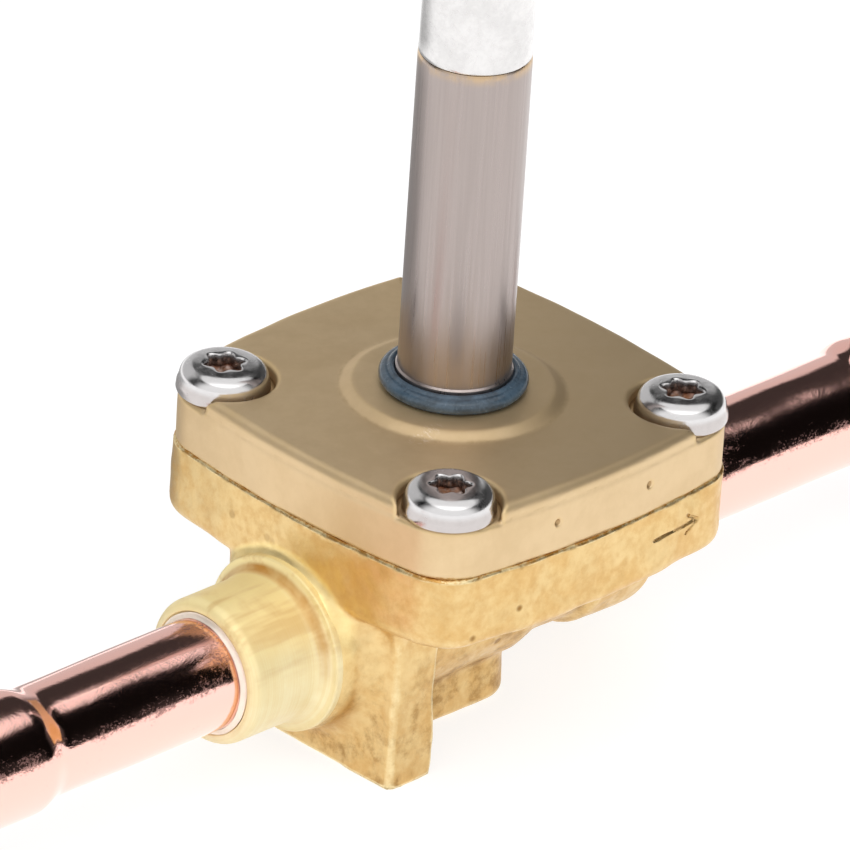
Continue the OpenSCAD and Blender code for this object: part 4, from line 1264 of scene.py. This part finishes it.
def core_outline(s):
    """Closed profile of the core: its face in the tube with the shading ring's groove, the weld
    bead, and the cap with a round upper edge."""
    r, weld, top = CAD["tube_r"], CAD["weld_z"], CAD["core_z"]
    face = CAD["core_face_z"] + CORE_RELIEF
    inner = r - s.tube_wall - 0.02
    edge, groove_in, groove_out, groove_z = 1.2, 3.98, 5.22, face + 1.6
    bead = [(inner, weld - 0.12), (r - 0.16, weld - 0.02), (r - 0.04, weld + 0.12),
            (r - 0.03, weld + 0.5), (r - 0.07, weld + 0.75)]
    rows = [[(0.02, face), (groove_in, face), (groove_in, groove_z), (groove_out, groove_z),
             (groove_out, face), (inner - 0.2, face), (inner, face + 0.2)], bead,
            [(r - 0.07, top - edge)], arc(r - 0.07 - edge, top - edge, edge, 15, 90, 6),
            [(0.02, top)]]
    return np.concatenate([np.asarray(q, float) for q in rows])


def ring_outline(s):
    """Closed profile of the rubber ring, as its distance from the section's centre by angle:
    the ring's own circle, or the far side of the lip's circle where that is farther."""
    r, lip = s.ring_d / 2, 0.24 * s.ring_d
    cx, cz = CAD["ring_r"] - r, CAD["boss_z"] + r
    t = np.linspace(0, 2 * np.pi, 64, endpoint=False)
    dx, dz = np.cos(t), np.sin(t)
    lx, lz = lip - r, 0.4 * s.ring_d
    along = dx * lx + dz * lz
    room = lip ** 2 - lx ** 2 - lz ** 2 + along ** 2
    far = np.where(room > 0, along + np.sqrt(np.maximum(room, 0)), 0)
    reach = np.maximum(r, far)
    return np.stack([cx + reach * dx, cz + reach * dz], axis=1)


class VALVE_OT_inside(bpy.types.Operator):
    """Working parts inside the valve: diaphragm, spring, and finishes for the CAD pieces."""
    bl_idname = "valve.inside"
    bl_label = "Working parts"

    def execute(self, context):
        steel = plain_metal("plate_steel", (0.52, 0.53, 0.55), 0.3)
        brass = plain_metal("turned_brass", tuple(finish().turned), 0.25)
        seal = dull_solid("seal_resin", (0.83, 0.81, 0.76), 0.4)
        armature = plain_metal("armature_steel", (0.55, 0.54, 0.53), 0.26)
        choices = {
            "support_plate": steel, "hub_nut": steel, "seal_retainer": steel,
            "diaphragm_hub": brass, "tube_retainer": brass, "pilot_nozzle": steel,
            "main_seal": seal, "pilot_seal": seal, "armature": armature,
            "shading_ring": plain_metal("shading_copper", tuple(finish().copper), 0.25),
            "tube_gasket": plain_metal("gasket_aluminium", (0.68, 0.69, 0.7), 0.35),
            "cover_gasket": dull_solid("gasket_sheet", (0.07, 0.08, 0.085), 0.7),
        }
        for name, material in choices.items():
            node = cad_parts[name]
            node.data.materials.clear()
            node.data.materials.append(material)
        make_diaphragm()
        make_spring()
        return {"FINISHED"}


def make_diaphragm():
    """Rolled diaphragm as a lathe surface."""
    low, high = (np.array(c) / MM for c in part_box("diaphragm"))
    thickness, sag = 0.5, 1.5
    rim_z, rim_r = high[2] - thickness, high[0]
    inner, plate, chamber, mid_z = 3.22, 8.1, 15.0, high[2] - 2.75
    t = np.linspace(0, 1, 25)
    roll = np.stack([plate + (chamber - plate) * t,
                     mid_z + (rim_z - mid_z) * (1 - np.cos(np.pi * t)) / 2
                     - sag * np.sin(np.pi * t) ** 2], axis=1)
    under = np.concatenate([[(inner, mid_z)], roll, [(rim_r, rim_z)]])
    outline = np.concatenate([under, under[::-1] + (0, thickness)])
    points, faces = lathe(outline, 120)
    film = make_object("rolled_diaphragm", points, faces, 50)
    dress(film, "valve", "diaphragm_film", dull_solid("diaphragm_film", (0.8, 0.77, 0.7), 0.45),
          "diaphragm")
    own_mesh(film)


def make_spring():
    """Helical spring: a circle carried along a helix that has one closed turn at each end."""
    low, high = (np.array(c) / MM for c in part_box("armature_spring"))
    wire, turns = 0.7, 9
    mean_r = high[0] - wire / 2
    z0, z1 = low[2] + wire / 2, high[2] - wire / 2
    closed = wire * 1.03
    turn = np.linspace(0, turns, turns * 40 + 1)
    free = z1 - z0 - 2 * closed
    rise = np.where(turn < 1, turn * closed,
                    np.where(turn > turns - 1, closed + free + (turn - turns + 1) * closed,
                             closed + free * (turn - 1) / (turns - 2)))
    around = np.linspace(0, 2 * np.pi, 14, endpoint=False)
    a = 2 * np.pi * turn[:, None]
    r = mean_r + wire / 2 * np.cos(around)[None, :]
    z = z0 + rise[:, None] + wire / 2 * np.sin(around)[None, :]
    points = np.stack([r * np.cos(a), r * np.sin(a), z], axis=-1)
    grid = np.transpose(points, (1, 0, 2)).reshape(-1, 3)
    spring = make_object("return_spring", grid, wrapped_quads(len(around), len(turn), False))
    close_ends(spring)
    dress(spring, "valve", "spring_wire", plain_metal("spring_wire", (0.55, 0.56, 0.58), 0.22),
          "armature_spring")
    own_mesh(spring)


def close_ends(obj):
    """Fills the open ends of a tube-like mesh."""
    work = bmesh.new()
    work.from_mesh(obj.data)
    bmesh.ops.holes_fill(work, edges=[e for e in work.edges if e.is_boundary])
    bmesh.ops.recalc_face_normals(work, faces=work.faces)
    work.to_mesh(obj.data)
    work.free()


class VALVE_OT_stage(bpy.types.Operator):
    """Camera, pale floor, soft light and white surroundings."""
    bl_idname = "valve.stage"
    bl_label = "Stage"

    def execute(self, context):
        scene = context.scene
        scene.view_settings.view_transform = "Standard"
        place_camera(scene)
        make_floor()
        make_world(scene)
        return {"FINISHED"}


def place_camera(scene):
    """Camera on a line through the crossing of the pipe and tube axes, shifted sideways."""
    g = scene.valve_stage
    az, el, roll = g.azimuth, g.elevation, g.roll
    back = Vector((math.sin(az) * math.cos(el), -math.cos(az) * math.cos(el), math.sin(el)))
    right = Vector((math.cos(az), math.sin(az), 0))
    up = back.cross(right)
    place = back * g.distance + right * g.right + up * g.up + Vector((0, 0, CAD["axis_z"] * MM))
    side = math.cos(roll) * right + math.sin(roll) * up
    top = -math.sin(roll) * right + math.cos(roll) * up
    data = bpy.data.cameras.new("camera")
    data.lens = g.lens
    data.sensor_width = 36
    data.clip_start, data.clip_end = 0.1, 50
    camera = bpy.data.objects.new("camera", data)
    camera.matrix_world = Matrix((side, top, back)).transposed().to_4x4()
    camera.location = place
    scene.collection.objects.link(camera)
    scene.camera = camera


def make_floor():
    """Large plain floor at the foot's height. For camera and reflected rays a share of its
    brightness is its own, so that it stays white and keeps a soft shadow."""
    corners = [(x * FLOOR_HALF, y * FLOOR_HALF, 0) for x, y in ((-1, -1), (1, -1), (1, 1), (-1, 1))]
    mesh = bpy.data.meshes.new("floor")
    mesh.from_pydata(corners, [], [(0, 1, 2, 3)])
    floor = bpy.data.objects.new("floor", mesh)
    bpy.context.scene.collection.objects.link(floor)
    material, tree, shader = new_material("floor_pale")
    shader.inputs["Base Color"].default_value = (0.9, 0.9, 0.9, 1)
    shader.inputs["Roughness"].default_value = 1.0
    shader.inputs["Specular IOR Level"].default_value = 0.0
    path = put(tree, "ShaderNodeLightPath")
    seen = larger(tree, path.outputs["Is Camera Ray"], path.outputs["Is Glossy Ray"])
    seen = larger(tree, seen, path.outputs["Is Transmission Ray"])
    away = vector_maths(tree, "DISTANCE", object_place(tree), FLOOR_CARD)
    sheen = ranged(tree, away, *FLOOR_CARD_R, FLOOR_CARD_LIGHT * FLOOR_SHEEN, FLOOR_SHEEN)
    strength = put(tree, "ShaderNodeMix", {0: path.outputs["Is Glossy Ray"], 2: FLOOR_GLOW,
                                           3: sheen}, data_type="FLOAT").outputs[0]
    glow = put(tree, "ShaderNodeEmission", {"Color": (1, 1, 1, 1), "Strength": strength})
    mix = put(tree, "ShaderNodeMixShader", {0: times(tree, seen, FLOOR_SHARE),
                                            1: shader.outputs[0], 2: glow.outputs[0]})
    tree.links.new(mix.outputs[0], tree.nodes["Material Output"].inputs["Surface"])
    floor.data.materials.append(material)


def make_world(scene):
    """White to the camera. For the light: a white screen stands behind the object up to a low
    height, higher on its left and dark on its right, the room above and in front is dim, and one
    large soft lamp hangs overhead."""
    world = bpy.data.worlds.new("studio")
    scene.world = world
    world.use_nodes = True
    tree = world.node_tree
    background = tree.nodes["Background"]
    background.inputs["Color"].default_value = (1, 1, 1, 1)
    direction = put(tree, "ShaderNodeTexCoord").outputs["Generated"]
    height = parts_of(tree, direction)["Z"]
    low, high = (math.sin(math.radians(a)) for a in SCREEN_TOP)
    left = vector_maths(tree, "DOT_PRODUCT", direction, SCREEN_TURN)
    height = minus(tree, height, ranged(tree, left, 0.15, 0.4, 0.0, SCREEN_LIFT))
    below = ranged(tree, height, low, high, 1.0, 0.0)
    below = times(tree, below, ranged(tree, left, -0.15, -0.35, 1.0, SCREEN_RIGHT))
    behind = vector_maths(tree, "DOT_PRODUCT", direction, SCREEN_SIDE)
    screen = times(tree, below, ranged(tree, behind, 0.0, 0.35, 0.0, SCREEN_LIGHT))
    side = ranged(tree, behind, -0.1, -0.6, 0.0, SIDE_LIGHT)
    inner, outer = (math.cos(math.radians(a)) for a in LAMP_EDGE)
    aim = vector_maths(tree, "DOT_PRODUCT", direction, LAMP_AIM)
    lamp = ranged(tree, aim, outer, inner, 0.0, LAMP_LIGHT)
    room = ranged(tree, behind, 0.3, 0.6, ROOM_LIGHT, BACK_LIGHT)
    light = larger(tree, larger(tree, screen, side), room)
    light = plus(tree, light, lamp)
    seen = put(tree, "ShaderNodeLightPath").outputs["Is Camera Ray"]
    strength = put(tree, "ShaderNodeMix", {0: seen, 2: light, 3: 1.0},
                   data_type="FLOAT").outputs[0]
    tree.links.new(strength, background.inputs["Strength"])


class VALVE_PT_panel(bpy.types.Panel):
    """Lists the valve's steps, sizes and colours in the sidebar."""
    bl_label = "Solenoid valve"
    bl_idname = "VALVE_PT_panel"
    bl_space_type = "VIEW_3D"
    bl_region_type = "UI"
    bl_category = "Valve"

    def draw(self, context):
        layout = self.layout
        for operator in STEPS:
            layout.operator(operator.bl_idname)
        for group, kind in ((context.scene.valve_shape, ValveShape),
                            (context.scene.valve_finish, ValveFinish),
                            (context.scene.valve_stage, ValveStage)):
            box = layout.box()
            for name in kind.__annotations__:
                box.prop(group, name)


STEPS = (VALVE_OT_body, VALVE_OT_sleeves, VALVE_OT_cover, VALVE_OT_screws, VALVE_OT_copper,
         VALVE_OT_tube, VALVE_OT_inside, VALVE_OT_stage)
GROUPS = (ValveShape, ValveFinish, ValveStage)


def register():
    """Registers the classes and hangs the property groups on the scene."""
    for kind in (*GROUPS, *STEPS, VALVE_PT_panel):
        bpy.utils.register_class(kind)
    bpy.types.Scene.valve_shape = PointerProperty(type=ValveShape)
    bpy.types.Scene.valve_finish = PointerProperty(type=ValveFinish)
    bpy.types.Scene.valve_stage = PointerProperty(type=ValveStage)


def unregister():
    """Takes back what register does."""
    del bpy.types.Scene.valve_shape
    del bpy.types.Scene.valve_finish
    del bpy.types.Scene.valve_stage
    for kind in reversed((*GROUPS, *STEPS, VALVE_PT_panel)):
        bpy.utils.unregister_class(kind)


def main():
    """Registers the add-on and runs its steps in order."""
    register()
    bpy.ops.valve.body()
    bpy.ops.valve.sleeves()
    bpy.ops.valve.cover()
    bpy.ops.valve.screws()
    bpy.ops.valve.copper()
    bpy.ops.valve.tube()
    bpy.ops.valve.inside()
    bpy.ops.valve.stage()


if __name__ == "__main__":
    main()
